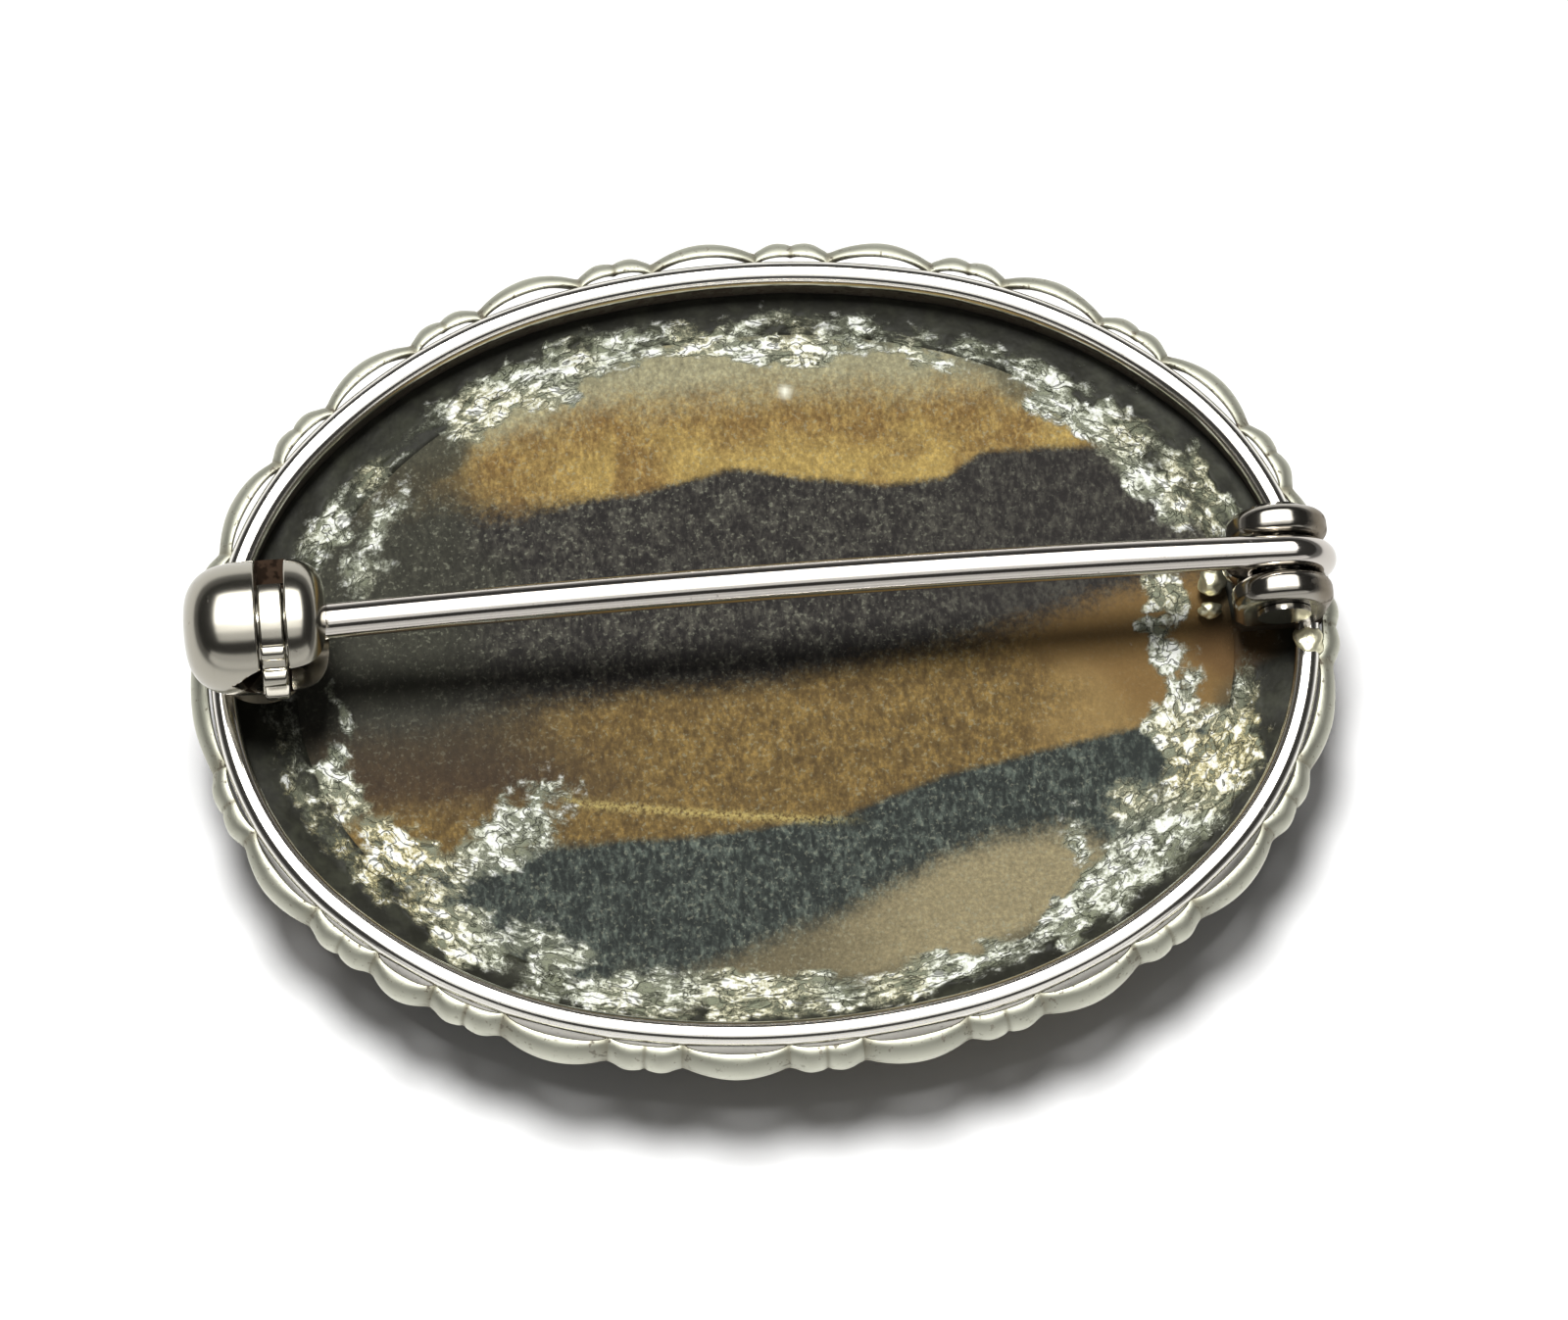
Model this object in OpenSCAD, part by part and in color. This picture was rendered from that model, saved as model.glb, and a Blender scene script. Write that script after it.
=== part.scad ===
/* [Oval frame] */
// Half length of the oval, to the middle of the back rim's wire
oval_a = 15.6; // [15:0.1:16.5]
// Half width of the oval, to the middle of the back rim's wire
oval_b = 11.35; // [11.2:0.01:11.5]
// Radius of the two end arcs of the oval
end_r = 9.5; // [9.4:0.02:9.6]
// Turn from the end of the oval to the end of its end arc, in degrees
end_turn = 46.4; // [45:0.1:48]
// Turn from the end of the oval to the start of its side arc, in degrees
side_turn = 78.2; // [77:0.1:79]
// Radius of the round wire along the back rim
wire_r = 0.36; // [0.3:0.02:0.4]
// Thickness of the frame's upright wall
wall_t = 0.44; // [0.36:0.02:0.5]
// Height of the frame from the rim wire's top to the lip that holds the stone
frame_h = 3.9; // [3.8:0.05:4.2]
// How far the front lip leans in over the stone
lip_reach = 0.33; // [0.2:0.01:0.34]

/* [Border strip] */
// Thickness of the wavy strip of metal round the frame
strip_t = 0.34; // [0.3:0.01:0.4]
// Height of the strip
strip_h = 1.1; // [0.9:0.1:1.4]
// Depth of the strip's upper edge below the rim wire's top
strip_drop = 0.35; // [0.3:0.05:0.6]
// Reach of the long lobes past the middle of the rim wire, along the sides of the oval
lobe_reach = 1.06; // [1:0.01:1.1]
// Reach of the lobes at the two ends of the oval
end_reach = 0.94; // [0.9:0.01:1.1]
// Reach of the two bumps of a tab
bump_reach = 0.95; // [0.88:0.01:1]
// Reach of the notch between them
notch_reach = 0.86; // [0.8:0.01:0.9]
// Reach where the strip is soldered to the frame, between lobes and tabs
foot_reach = 0.75; // [0.7:0.01:0.8]
// Length of a tab along the oval
tab_l = 2.06; // [1.9:0.02:2.2]
// Spacing of the tabs of the long piece of strip
tab_pitch = 5.06; // [5:0.01:5.08]
// Number of tabs of the long piece of strip
long_tabs = 15; // [15:1:15]
// Place of its first tab, as a length along the oval from the hinge end
long_start = 55.25; // [55.1:0.05:55.4]
// Spacing of the two tabs of the short piece of strip
short_pitch = 4.9; // [4.8:0.05:5]
// Number of tabs of the short piece of strip
short_tabs = 2; // [2:1:2]
// Place of its first tab, as a length along the oval from the hinge end
short_start = 46.4; // [46.2:0.1:46.5]

/* [Stone] */
// Gap between the stone's girdle and the frame
stone_gap = 0.08; // [0.06:0.01:0.15]
// Depth of the stone's flat back below the rim wire's top
back_drop = 1.8; // [1.6:0.05:2]
// Depth of the stone's widest line below the rim wire's top
girdle_drop = 2.9; // [2.8:0.05:3]
// Height of the upright band at the stone's widest line
girdle_h = 0.3; // [0.2:0.05:0.4]
// Height of the domed front over the girdle
dome_h = 3.2; // [3:0.1:3.6]
// Share of the girdle's length that the flat back keeps
flat_x = 0.89; // [0.86:0.01:0.92]
// Share of the girdle's width that the flat back keeps
flat_y = 0.905; // [0.88:0.005:0.93]
// Depth of the cement's upper edge at the frame below the rim wire's top
cement_drop = 1.42; // [1.3:0.02:1.6]

/* [Pin and hinge] */
// Radius of the pin's wire along the stem
pin_r = 0.51; // [0.45:0.01:0.52]
// Radius of the pin's wire round the eye
eye_wire_r = 0.46; // [0.42:0.01:0.47]
// Place of the pin across the brooch, from the middle
pin_y = 0.89; // [0.8:0.01:1]
// Turn of the pin, hinge and catch from the oval's long axis, in degrees
pin_turn = 0.8; // [0:0.1:1]
// Height of the middle of the catch over the rim wire's top
pin_up = 2.55; // [2.5:0.01:2.6]
// Radius of the slight bow of the pin's stem
bow_r = 140; // [120:5:200]
// Turn of the eye at which the bowed stem leaves it, in degrees
bow_turn = 5.75; // [5.6:0.05:5.9]
// Place of the rivet along the brooch, from the middle
rivet_x = 14.8; // [14.7:0.02:14.9]
// Radius of the rivet
rivet_r = 0.55; // [0.5:0.01:0.58]
// Radius of the pin's eye, to the middle of its wire
eye_r = 1.18; // [1.14:0.01:1.2]
// Radius of the hinge's two round ears
ear_r = 1.45; // [1.4:0.01:1.5]
// Thickness of each ear
ear_t = 0.88; // [0.8:0.02:0.9]
// Clear width between the ears
ear_gap = 1.07; // [1.06:0.01:1.1]
// Length of the pin's tapered point
point_l = 2.3; // [2.1:0.1:2.3]

/* [Ball catch] */
// Place of the ball's middle along the brooch, from the middle
ball_x = -14.42; // [-14.5:0.02:-14.3]
// Radius of the ball
ball_r = 1.9; // [1.8:0.02:1.95]
// Half length of the ball along the pin
ball_l = 2.03; // [1.95:0.01:2.1]
// Fullness of the ball's shoulders, where 2 is an ellipsoid
ball_power = 3; // [2.4:0.1:3.4]
// Width of the slot round the ball in which the rotor's thumb tab runs
slot_w = 0.82; // [0.8:0.01:0.86]
// Place of the slot's middle, from the ball's middle towards the hinge
slot_x = 0.52; // [0.4:0.02:0.54]
// Width of the mouth through which the pin goes into the ball
mouth_w = 1.22; // [1.14:0.02:1.24]
// Outer radius of the rotor's sleeve
sleeve_r = 1.15; // [1.1:0.01:1.2]
// Outer radius of the rotor's shutter
shutter_r = 1.8; // [1.7:0.01:1.85]
// Width of the rotor's shutter
shutter_w = 0.7; // [0.6:0.01:0.74]
// Turn of the rotor from closed to open, in degrees
rotor_turn = 50; // [48:1:50]

/* [Hidden] */
$fn = 64;
// Depth by which joined solids run into each other
weld = 0.04;
// Running clearance between a pin and its bore
run = 0.05;
// Extra length of a cutting shape past the faces that it cuts
past = 0.5;

// The oval is eight arcs: two end arcs, two side arcs and a shoulder arc in each quarter.
// The radii of the shoulder and side arcs follow from arcs that meet without a corner.
end_c = cos(end_turn);
end_s = 1 - sin(end_turn);
side_c = cos(side_turn);
side_s = 1 - sin(side_turn);
det = end_c * side_s - side_c * end_s;
step_1 = ((oval_a - end_r) * side_s - side_c * (oval_b - end_r)) / det;
step_2 = (end_c * (oval_b - end_r) - (oval_a - end_r) * end_s) / det;
shoulder_r = end_r + step_1;
side_r = shoulder_r + step_2;
end_at = [oval_a - end_r, 0];
shoulder_at = end_at - step_1 * [cos(end_turn), sin(end_turn)];
side_at = [0, oval_b - side_r];
radii = [end_r, shoulder_r, side_r];
centres = [end_at, shoulder_at, side_at];
// Length of each arc within one quarter of the oval
lengths = [
    end_r * end_turn * PI / 180,
    shoulder_r * (side_turn - end_turn) * PI / 180,
    side_r * (90 - side_turn) * PI / 180
];
quarter_l = lengths[0] + lengths[1] + lengths[2];
oval_l = 4 * quarter_l;

// Levels, with the brooch lying on the top of its dome at zero
rim_z = girdle_drop + dome_h;
strip_z = rim_z - strip_drop - strip_h;
back_z = rim_z - back_drop;
girdle_z = rim_z - girdle_drop;
cement_z = rim_z - cement_drop;
pin_z = rim_z + pin_up;
wall_half = wall_t / 2;
cement_gap = 0.05;
ear_y = (ear_gap + ear_t) / 2;
hinge_w = ear_gap + 2 * ear_t;
// Room round the pin's eye
eye_room = eye_r + eye_wire_r + 0.06;
// The bowed stem is an arc from the eye to the shoulder where the point begins
shoulder_x = ball_x + 1.35;
bow_x = rivet_x + (eye_r - bow_r) * sin(bow_turn);
point_turn = asin((bow_x - shoulder_x) / bow_r);
bow_z = pin_z - bow_r * cos(point_turn);
rivet_z = bow_z - (eye_r - bow_r) * cos(bow_turn);
// The ball's bore for the rotor's sleeve, with its middle a little towards the slot
bore_l = 2.4;
bore_x = 0.1;
// Turns in the frame of the ball: 0 is down, 90 is towards +Y and 180 is up
slot_low = 102;
slot_high = 284;
mouth_turn = 256;
shutter_low = 155;
shutter_high = 280;
// The stone and its cement have this many sides
sides = 96;
wire_sides = 16;
// Share of the dome's full height at each of its rings, the last one round the small flat on its top
dome_rings = [0.12, 0.26, 0.42, 0.58, 0.72, 0.84, 0.93, 0.98];

// Direction folded into the first quarter, and the signs that unfold it
function folded(turn) = let (t = (turn % 360 + 360) % 360, q = floor(t / 90))
    q % 2 == 0 ? t - 90 * q : 90 * (q + 1) - t;
function signs(turn) = let (t = (turn % 360 + 360) % 360)
    [t <= 90 || t >= 270 ? 1 : -1, t <= 180 ? 1 : -1];
function arc_of(fold) = fold <= end_turn ? 0 : fold <= side_turn ? 1 : 2;
// Point of the oval whose outward direction is turn, moved outwards by off
function oval_point(turn, off) =
    let (f = folded(turn), i = arc_of(f), s = signs(turn))
    let (p = centres[i] + (radii[i] + off) * [cos(f), sin(f)])
    [p[0] * s[0], p[1] * s[1]];
// Outward direction after a length along the oval from the hinge end
function turn_in_quarter(l) = l <= lengths[0] ? l / end_r * 180 / PI
    : l <= lengths[0] + lengths[1] ? end_turn + (l - lengths[0]) / shoulder_r * 180 / PI
    : side_turn + (l - lengths[0] - lengths[1]) / side_r * 180 / PI;
function turn_at(length) =
    let (l = (length % oval_l + oval_l) % oval_l, q = floor(l / quarter_l), r = l - q * quarter_l)
    q % 2 == 0 ? 90 * q + turn_in_quarter(r) : 90 * (q + 1) - turn_in_quarter(quarter_l - r);

// Tabs in order along the oval, the long piece of strip first
tabs = [
    for (i = [0 : long_tabs - 1]) long_start + i * tab_pitch,
    for (i = [0 : short_tabs - 1]) short_start + oval_l + i * short_pitch,
    long_start + oval_l
];
tab_steps = 8;
lobe_steps = 10;
// Reach of the strip's inner face at its feet, just inside the frame's wall
foot_in = wall_half - weld;
// Reach of the lobe at a length along the oval, lowest at the two ends
function reach_at(length) = lobe_reach - (lobe_reach - end_reach) * pow(cos(turn_at(length)), 4);
// Reach of a tab's outer face at a share from -1 to 1 of its half length: two bumps and a notch
function tab_out(share) = foot_reach + (notch_reach - foot_reach) * (1 - share * share)
    + (bump_reach - notch_reach + 0.25 * (notch_reach - foot_reach)) * pow(abs(sin(180 * share)), 1.4);
function tab_in(share) = foot_in + (bump_reach - strip_t - foot_in) * pow(max(0, 1 - share * share), 0.4);
// Reach of a lobe's two faces at a share from 0 to 1 of its length
function lobe_out(share, reach) = foot_reach + (reach - foot_reach) * pow(sin(180 * share), 0.8);
function lobe_in(share, reach) = foot_in + (reach - strip_t - foot_in) * pow(sin(180 * share), 0.5);
// Stations of the strip as rows of length along the oval, outer reach and inner reach
stations = [
    for (i = [0 : len(tabs) - 2])
        let (here = tabs[i], lobe_l = tabs[i + 1] - here - tab_l)
        let (reach = reach_at(here + (tab_l + lobe_l) / 2))
        each concat(
            [for (j = [-tab_steps : tab_steps - 1]) let (share = j / tab_steps)
                [here + share * tab_l / 2, tab_out(share), tab_in(share)]],
            [for (j = [0 : lobe_steps - 1]) let (share = j / lobe_steps)
                [here + tab_l / 2 + share * lobe_l, lobe_out(share, reach), lobe_in(share, reach)]]
        )
];
strip_outside = [for (s = stations) oval_point(turn_at(s[0]), s[1])];
strip_inside = [for (s = stations) oval_point(turn_at(s[0]), s[2])];

// Turns a shape made along Z to lie along X or Y
module along_x() { rotate([0, 90, 0]) children(); }
module along_y() { rotate([-90, 0, 0]) children(); }
// Puts what is made along the line of the pin in its place on the brooch
module on_pin_line() { translate([0, pin_y, 0]) rotate([0, 0, pin_turn]) children(); }

// Closed loops of points, each joined to the next and the last to the first
module joined_loops(loops) {
    n = len(loops[0]);
    count = len(loops);
    polyhedron(
        points = [for (l = loops) each l],
        faces = [for (k = [0 : count - 1], i = [0 : n - 1])
            let (m = (k + 1) % count, j = (i + 1) % n) [k * n + i, m * n + i, m * n + j, k * n + j]]
    );
}

// The oval moved outwards by off, at level z
function oval_loop(off, z) = [
    for (i = [0 : sides - 1]) let (p = oval_point(360 * i / sides, off)) [p[0], p[1], z]
];

// Frame: upright wall with the front lip and the round wire along the back rim
module frame() {
    front = rim_z - frame_h;
    wire_z = rim_z - wire_r;
    wire_low = asin(sqrt(1 - pow(wall_half / wire_r, 2)));
    wire_steps = 8;
    // Heights of the lip's inner foot, outer foot and inner edge, and the width of its bevelled edge
    foot_in_h = 0.7;
    foot_out_h = 0.65;
    edge_h = 0.2;
    edge_w = 0.12;
    section = [
        [-wall_half, front + foot_in_h], [-wall_half - lip_reach, front + edge_h],
        [-wall_half - lip_reach + edge_w, front], [wall_half, front + foot_out_h],
        for (i = [0 : wire_steps])
            let (t = -wire_low + (180 + 2 * wire_low) * i / wire_steps)
            [wire_r * cos(t), wire_z + wire_r * sin(t)]
    ];
    joined_loops([for (s = section) oval_loop(s[0], s[1])]);
}

module border_strip() {
    translate([0, 0, strip_z]) linear_extrude(strip_h) difference() {
        polygon(strip_outside);
        polygon(strip_inside);
    }
}

// Hinge: two round ears on a base plate, with room under the pin's eye
module hinge_base() {
    plate_l = 2.5;
    plate_low = rim_z - 0.55;
    plate_top = rim_z + 0.1;
    translate([rivet_x, 0, 0]) difference() {
        union() {
            translate([0, 0, (plate_low + plate_top) / 2])
                cube([plate_l, hinge_w, plate_top - plate_low], center = true);
            for (side = [-ear_y, ear_y]) translate([0, side, rivet_z]) {
                along_y() cylinder(r = ear_r, h = ear_t, center = true);
                along_y() linear_extrude(ear_t, center = true) polygon([
                    [-ear_r, 0], [ear_r, 0], [plate_l / 2, rivet_z - plate_low],
                    [-plate_l / 2, rivet_z - plate_low]
                ]);
            }
        }
        translate([0, 0, rivet_z]) along_y() cylinder(r = rivet_r + run / 2, h = hinge_w + past, center = true);
    }
}

// Blob of solder where the rim's wire ends beside the hinge
module solder_blob() {
    blob_r = 0.42;
    translate([rivet_x + 0.76, -hinge_w / 2 - 1.2 * blob_r, rim_z - 0.3]) sphere(blob_r, $fn = 48);
}

// Wedge of a disc between two turns
module wedge(low, high, r, w) {
    linear_extrude(w, center = true)
        polygon([[0, 0], for (i = [0 : 12]) let (t = low + (high - low) * i / 12) r * [cos(t), sin(t)]]);
}

// Mouth in both halves: straight to the open end, and pointed in the closed half
module mouth() {
    closed = slot_x - slot_w / 2 - 0.85;
    far = ball_r + past;
    along_x() rotate([0, 0, mouth_turn]) rotate([90, 0, 0])
        linear_extrude(mouth_w, center = true) polygon([[0, closed], [far, closed], [far, far], [0, far]]);
}

// Half outline of the ball, a full rounded barrel, from one end of its length to the other
ball_steps = 20;
ball_outline = [
    for (i = [0 : ball_steps]) let (t = 180 * i / ball_steps, c = cos(t))
        [ball_r * pow(sin(t), 2 / ball_power), ball_l * sign(c) * pow(abs(c), 2 / ball_power)]
];

module catch_ball() {
    foot_h = 1.3;
    foot_low = -pin_up - 0.12;
    foot_r = 1.5;
    neck_r = 1.15;
    translate([ball_x, 0, pin_z]) difference() {
        union() {
            along_x() rotate_extrude() polygon(ball_outline);
            translate([0, 0, foot_low]) cylinder(r1 = foot_r, r2 = neck_r, h = foot_h);
        }
        translate([bore_x, 0, 0]) along_x() cylinder(r = sleeve_r + run, h = bore_l, center = true);
        along_x() cylinder(r = pin_r + 0.1, h = ball_r + past);
        translate([slot_x, 0, 0]) along_x() wedge(slot_low, slot_high, 2 * ball_r, slot_w);
        mouth();
    }
}

module setting() {
    color("silver") difference() {
        union() {
            frame();
            border_strip();
            on_pin_line() {
                hinge_base();
                solder_blob();
                catch_ball();
            }
        }
        // Room for the pin's eye between the ears and over the rim's wire
        on_pin_line() translate([rivet_x, 0, rivet_z]) along_y()
            cylinder(r = eye_room, h = ear_gap, center = true);
    }
}

// Rings of points joined by side faces, closed at both ends
module stacked(rings) {
    n = len(rings[0]);
    last = len(rings) - 1;
    polyhedron(
        points = [for (r = rings) each r],
        faces = [
            [for (i = [0 : n - 1]) i],
            for (k = [0 : last - 1], i = [0 : n - 1])
                [k * n + i, k * n + n + i, k * n + n + (i + 1) % n, k * n + (i + 1) % n],
            [for (i = [n - 1 : -1 : 0]) last * n + i]
        ]
    );
}

function girdle_ring(kx, ky, z) = [
    for (i = [0 : sides - 1])
        let (p = oval_point(360 * i / sides, -wall_half - stone_gap)) [p[0] * kx, p[1] * ky, z]
];

module agate_stone() {
    top = len(dome_rings) - 1;
    color("sienna") stacked([
        for (i = [top : -1 : 0])
            let (k = sqrt(1 - dome_rings[i] * dome_rings[i])) girdle_ring(k, k, girdle_z - dome_h * dome_rings[i]
                / dome_rings[top]),
        girdle_ring(1, 1, girdle_z),
        girdle_ring(1, 1, girdle_z + girdle_h),
        girdle_ring(flat_x, flat_y, back_z)
    ]);
}

// Ring of cement between the stone's sloping back edge and the frame
module cement_ring() {
    low = girdle_z + girdle_h + 0.15;
    inner_z = back_z + cement_gap;
    share = (low - girdle_z - girdle_h) / (back_z - girdle_z - girdle_h);
    color("gainsboro") joined_loops([
        oval_loop(-wall_half - cement_gap, low), oval_loop(-wall_half - cement_gap, cement_z),
        girdle_ring(flat_x + 0.005, flat_y + 0.007, inner_z),
        girdle_ring(1 - share * (1 - flat_x) + 0.005, 1 - share * (1 - flat_y) + 0.007, low)
    ]);
}

module hinge_rivet() {
    head_h = 0.16;
    head_gap = 0.02;
    l = hinge_w + 2 * (head_h + head_gap);
    color("lightgray") on_pin_line() translate([rivet_x, 0, rivet_z]) along_y() {
        cylinder(r = rivet_r, h = l, center = true);
        for (side = [-1, 1]) translate([0, 0, side * (l - head_h) / 2])
            cylinder(r = rivet_r + 0.22, h = head_h, center = true);
    }
}

// Ring of the pin's wire round a point x, z whose direction of travel is turn
function wire_ring(at, turn, r) = [
    for (i = [0 : wire_sides - 1]) let (t = 360 * i / wire_sides, n = r * cos(t))
        [at[0] - n * sin(turn), -r * sin(t), at[1] + n * cos(turn)]
];
// Point of an arc about a middle where the direction of travel is turn
function arc_point(middle, r, turn) = middle + r * [-sin(turn), cos(turn)];

// Pin: a tapered point, a slightly bowed stem and a wound eye, with a lining that bears on the rivet
module pin_stem() {
    tip_r = 0.08;
    eye_turn = 276;
    lining_h = 0.6;
    bow_steps = 12;
    eye_steps = 24;
    // Share of the stem at which its wire starts to thin towards the eye
    thin_at = 0.8;
    shoulder = [shoulder_x, pin_z];
    tip = shoulder - point_l * [cos(point_turn), sin(point_turn)];
    color("gainsboro") on_pin_line() {
        stacked([
            wire_ring(tip, point_turn, tip_r),
            for (i = [0 : bow_steps])
                let (share = i / bow_steps, turn = point_turn - share * (point_turn + bow_turn))
                let (thin = max(0, share - thin_at) / (1 - thin_at))
                wire_ring(arc_point([bow_x, bow_z], bow_r, turn), turn, pin_r + (eye_wire_r - pin_r) * thin),
            for (i = [1 : eye_steps])
                let (turn = -bow_turn - eye_turn * i / eye_steps)
                wire_ring(arc_point([rivet_x, rivet_z], eye_r, turn), turn, eye_wire_r)
        ]);
        translate([rivet_x, 0, rivet_z]) along_y() difference() {
            cylinder(r = eye_r - 0.22, h = lining_h, center = true);
            cylinder(r = rivet_r + run, h = lining_h + past, center = true);
        }
    }
}

// Rotor: a split sleeve round the pin, with a shutter and a ridged thumb tab in the ball's slot
module catch_rotor() {
    sleeve_l = bore_l - 0.1;
    tab_turn = 14;
    tab_r = ball_r + 0.22;
    gap_w = 1.04;
    // Rows of turn, distance from the axis and radius
    ridges = [[221, 1.74, 0.24], [248, 1.8, 0.3]];
    color("silver") on_pin_line() translate([ball_x, 0, pin_z]) along_x() difference() {
        union() {
            translate([0, 0, bore_x]) cylinder(r = sleeve_r, h = sleeve_l, center = true);
            translate([0, 0, slot_x]) {
                intersection() {
                    cylinder(r = shutter_r, h = shutter_w, center = true);
                    wedge(shutter_low, shutter_high, 2 * ball_r, shutter_w);
                }
                intersection() {
                    cylinder(r = tab_r, h = shutter_w, center = true);
                    wedge(shutter_high - tab_turn, shutter_high, 2 * ball_r, shutter_w);
                }
                for (r = ridges) rotate([0, 0, r[0]]) translate([r[1], 0, 0])
                    cylinder(r = r[2], h = shutter_w, center = true);
            }
        }
        translate([0, 0, bore_x]) cylinder(r = pin_r + 0.17, h = sleeve_l + past, center = true);
        rotate([0, 0, mouth_turn + rotor_turn]) translate([sleeve_r, 0, bore_x])
            cube([2 * sleeve_r, gap_w, sleeve_l + past], center = true);
    }
}

setting();
agate_stone();
cement_ring();
hinge_rivet();
pin_stem();
catch_rotor();
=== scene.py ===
# Looks of an oval agate brooch that lies on its domed front, with its pin, hinge and ball catch upwards
import math
import bmesh
import bpy
import numpy as np
from mathutils import Matrix, Vector


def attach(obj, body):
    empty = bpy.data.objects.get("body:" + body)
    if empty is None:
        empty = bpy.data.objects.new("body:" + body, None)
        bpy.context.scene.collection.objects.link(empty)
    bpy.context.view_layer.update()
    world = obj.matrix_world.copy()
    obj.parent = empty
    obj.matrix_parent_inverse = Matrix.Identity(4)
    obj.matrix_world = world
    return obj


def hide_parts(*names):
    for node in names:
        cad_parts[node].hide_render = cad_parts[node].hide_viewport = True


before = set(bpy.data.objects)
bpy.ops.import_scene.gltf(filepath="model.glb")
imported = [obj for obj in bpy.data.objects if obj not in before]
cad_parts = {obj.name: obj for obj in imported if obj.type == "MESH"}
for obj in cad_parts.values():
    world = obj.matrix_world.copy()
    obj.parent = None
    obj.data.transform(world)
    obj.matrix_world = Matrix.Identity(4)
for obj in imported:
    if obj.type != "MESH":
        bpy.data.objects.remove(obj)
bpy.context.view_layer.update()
mm = 0.001

# Heights and places that several pieces share, in millimetres
brooch = dict(
    ovalA=15.6, ovalB=11.35, endRadius=9.5, endTurn=46.4, sideTurn=78.2, wireRadius=0.36, wallHalf=0.22,
    rimZ=6.1, backZ=4.3, girdleZ=3.2, girdleTop=3.5, girdleOff=-0.3, flatX=0.89, flatY=0.905, pinY=0.89,
    pinTurn=0.8, pinZ=8.65, rivetX=14.8, rivetZ=7.4695, ballX=-14.42, ballRadius=1.9, slotX=0.52,
)


# Shapes on the oval


def ovalArcs():
    # The oval is eight arcs: two end arcs, two side arcs and a shoulder arc in each quarter
    endTurn, sideTurn = math.radians(brooch["endTurn"]), math.radians(brooch["sideTurn"])
    spareX, spareY = brooch["ovalA"] - brooch["endRadius"], brooch["ovalB"] - brooch["endRadius"]
    sums = [[math.cos(endTurn), math.cos(sideTurn)], [1 - math.sin(endTurn), 1 - math.sin(sideTurn)]]
    steps = np.linalg.solve(np.array(sums), np.array([spareX, spareY]))
    end = brooch["endRadius"]
    radii = np.array([end, end + steps[0], end + steps[0] + steps[1]])
    turns = np.array([0, endTurn, sideTurn, math.pi / 2])
    shoulder = np.array([spareX, 0]) - steps[0] * np.array([math.cos(endTurn), math.sin(endTurn)])
    centres = np.array([[spareX, 0], shoulder, [0, brooch["ovalB"] - radii[2]]])
    ends = np.concatenate([[0], np.cumsum(radii * np.diff(turns))])
    return radii, turns, centres, ends


arcRadii, arcTurns, arcCentres, arcEnds = ovalArcs()
ovalLength = 4 * arcEnds[-1]


def turnAt(length):
    # Outward direction after a length along the oval from the hinge end: it grows evenly along each arc
    spot = np.mod(length, ovalLength)
    quarter = np.floor(spot / arcEnds[-1])
    rest = spot - quarter * arcEnds[-1]
    back = quarter % 2 == 1
    turn = np.interp(np.where(back, arcEnds[-1] - rest, rest), arcEnds, arcTurns)
    return np.where(back, (quarter + 1) * math.pi / 2 - turn, quarter * math.pi / 2 + turn)


def turnsAlong(steps):
    # Outward directions at equal steps along the oval, one to a row
    return turnAt(np.arange(steps) * ovalLength / steps)[:, None]


def ovalPoint(turn, off):
    # Point whose outward direction is turn, moved outwards by off: arc centre + (radius + off) * direction
    turn = np.mod(turn, 2 * math.pi)
    quarter = np.floor(turn / (math.pi / 2))
    rest = turn - quarter * math.pi / 2
    fold = np.where(quarter % 2 == 1, math.pi / 2 - rest, rest)
    arc = np.clip(np.searchsorted(arcTurns, fold, side="left") - 1, 0, 2)
    signX = np.where((quarter == 1) | (quarter == 2), -1, 1)
    signY = np.where(quarter >= 2, -1, 1)
    reach = arcRadii[arc] + off
    x = (arcCentres[arc, 0] + reach * np.cos(fold)) * signX
    y = (arcCentres[arc, 1] + reach * np.sin(fold)) * signY
    return x, y


def onPinLine(x, y, z):
    # The pin, hinge and catch lie along a line that is a little turned from the oval's long axis
    turn = math.radians(brooch["pinTurn"])
    across = x * math.sin(turn) + y * math.cos(turn) + brooch["pinY"]
    return stacked(x * math.cos(turn) - y * math.sin(turn), across, z)


def stacked(x, y, z):
    # Points from three grids of numbers, or from rows and columns that spread to one grid
    return np.stack(np.broadcast_arrays(x, y, z), axis=-1)


def eased(value, low, high):
    # Smooth step from 0 at low to 1 at high
    share = np.clip((value - low) / (high - low), 0, 1)
    return share * share * (3 - 2 * share)


def blend(low, high, share):
    # Low where share is 0 and high where it is 1
    return low + (high - low) * share


def cloudy(x, y, size, seed):
    # Value noise: random heights on a square lattice, blended by a smooth step between its points
    table = np.random.default_rng(seed).random((128, 128))
    u, v = x / size, y / size
    i, j = np.floor(u).astype(int), np.floor(v).astype(int)
    f, g = eased(u - i, 0, 1), eased(v - j, 0, 1)
    low = table[i % 128, j % 128] * (1 - f) + table[(i + 1) % 128, j % 128] * f
    high = table[i % 128, (j + 1) % 128] * (1 - f) + table[(i + 1) % 128, (j + 1) % 128] * f
    return low * (1 - g) + high * g


def drift(x, y, size, seed, reach):
    # Value noise centred on zero, from -reach / 2 to reach / 2
    return (cloudy(x, y, size, seed) - 0.5) * reach


def fullTurn(steps):
    # Equal steps round a circle
    return np.linspace(0, 2 * math.pi, steps, endpoint=False)


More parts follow.
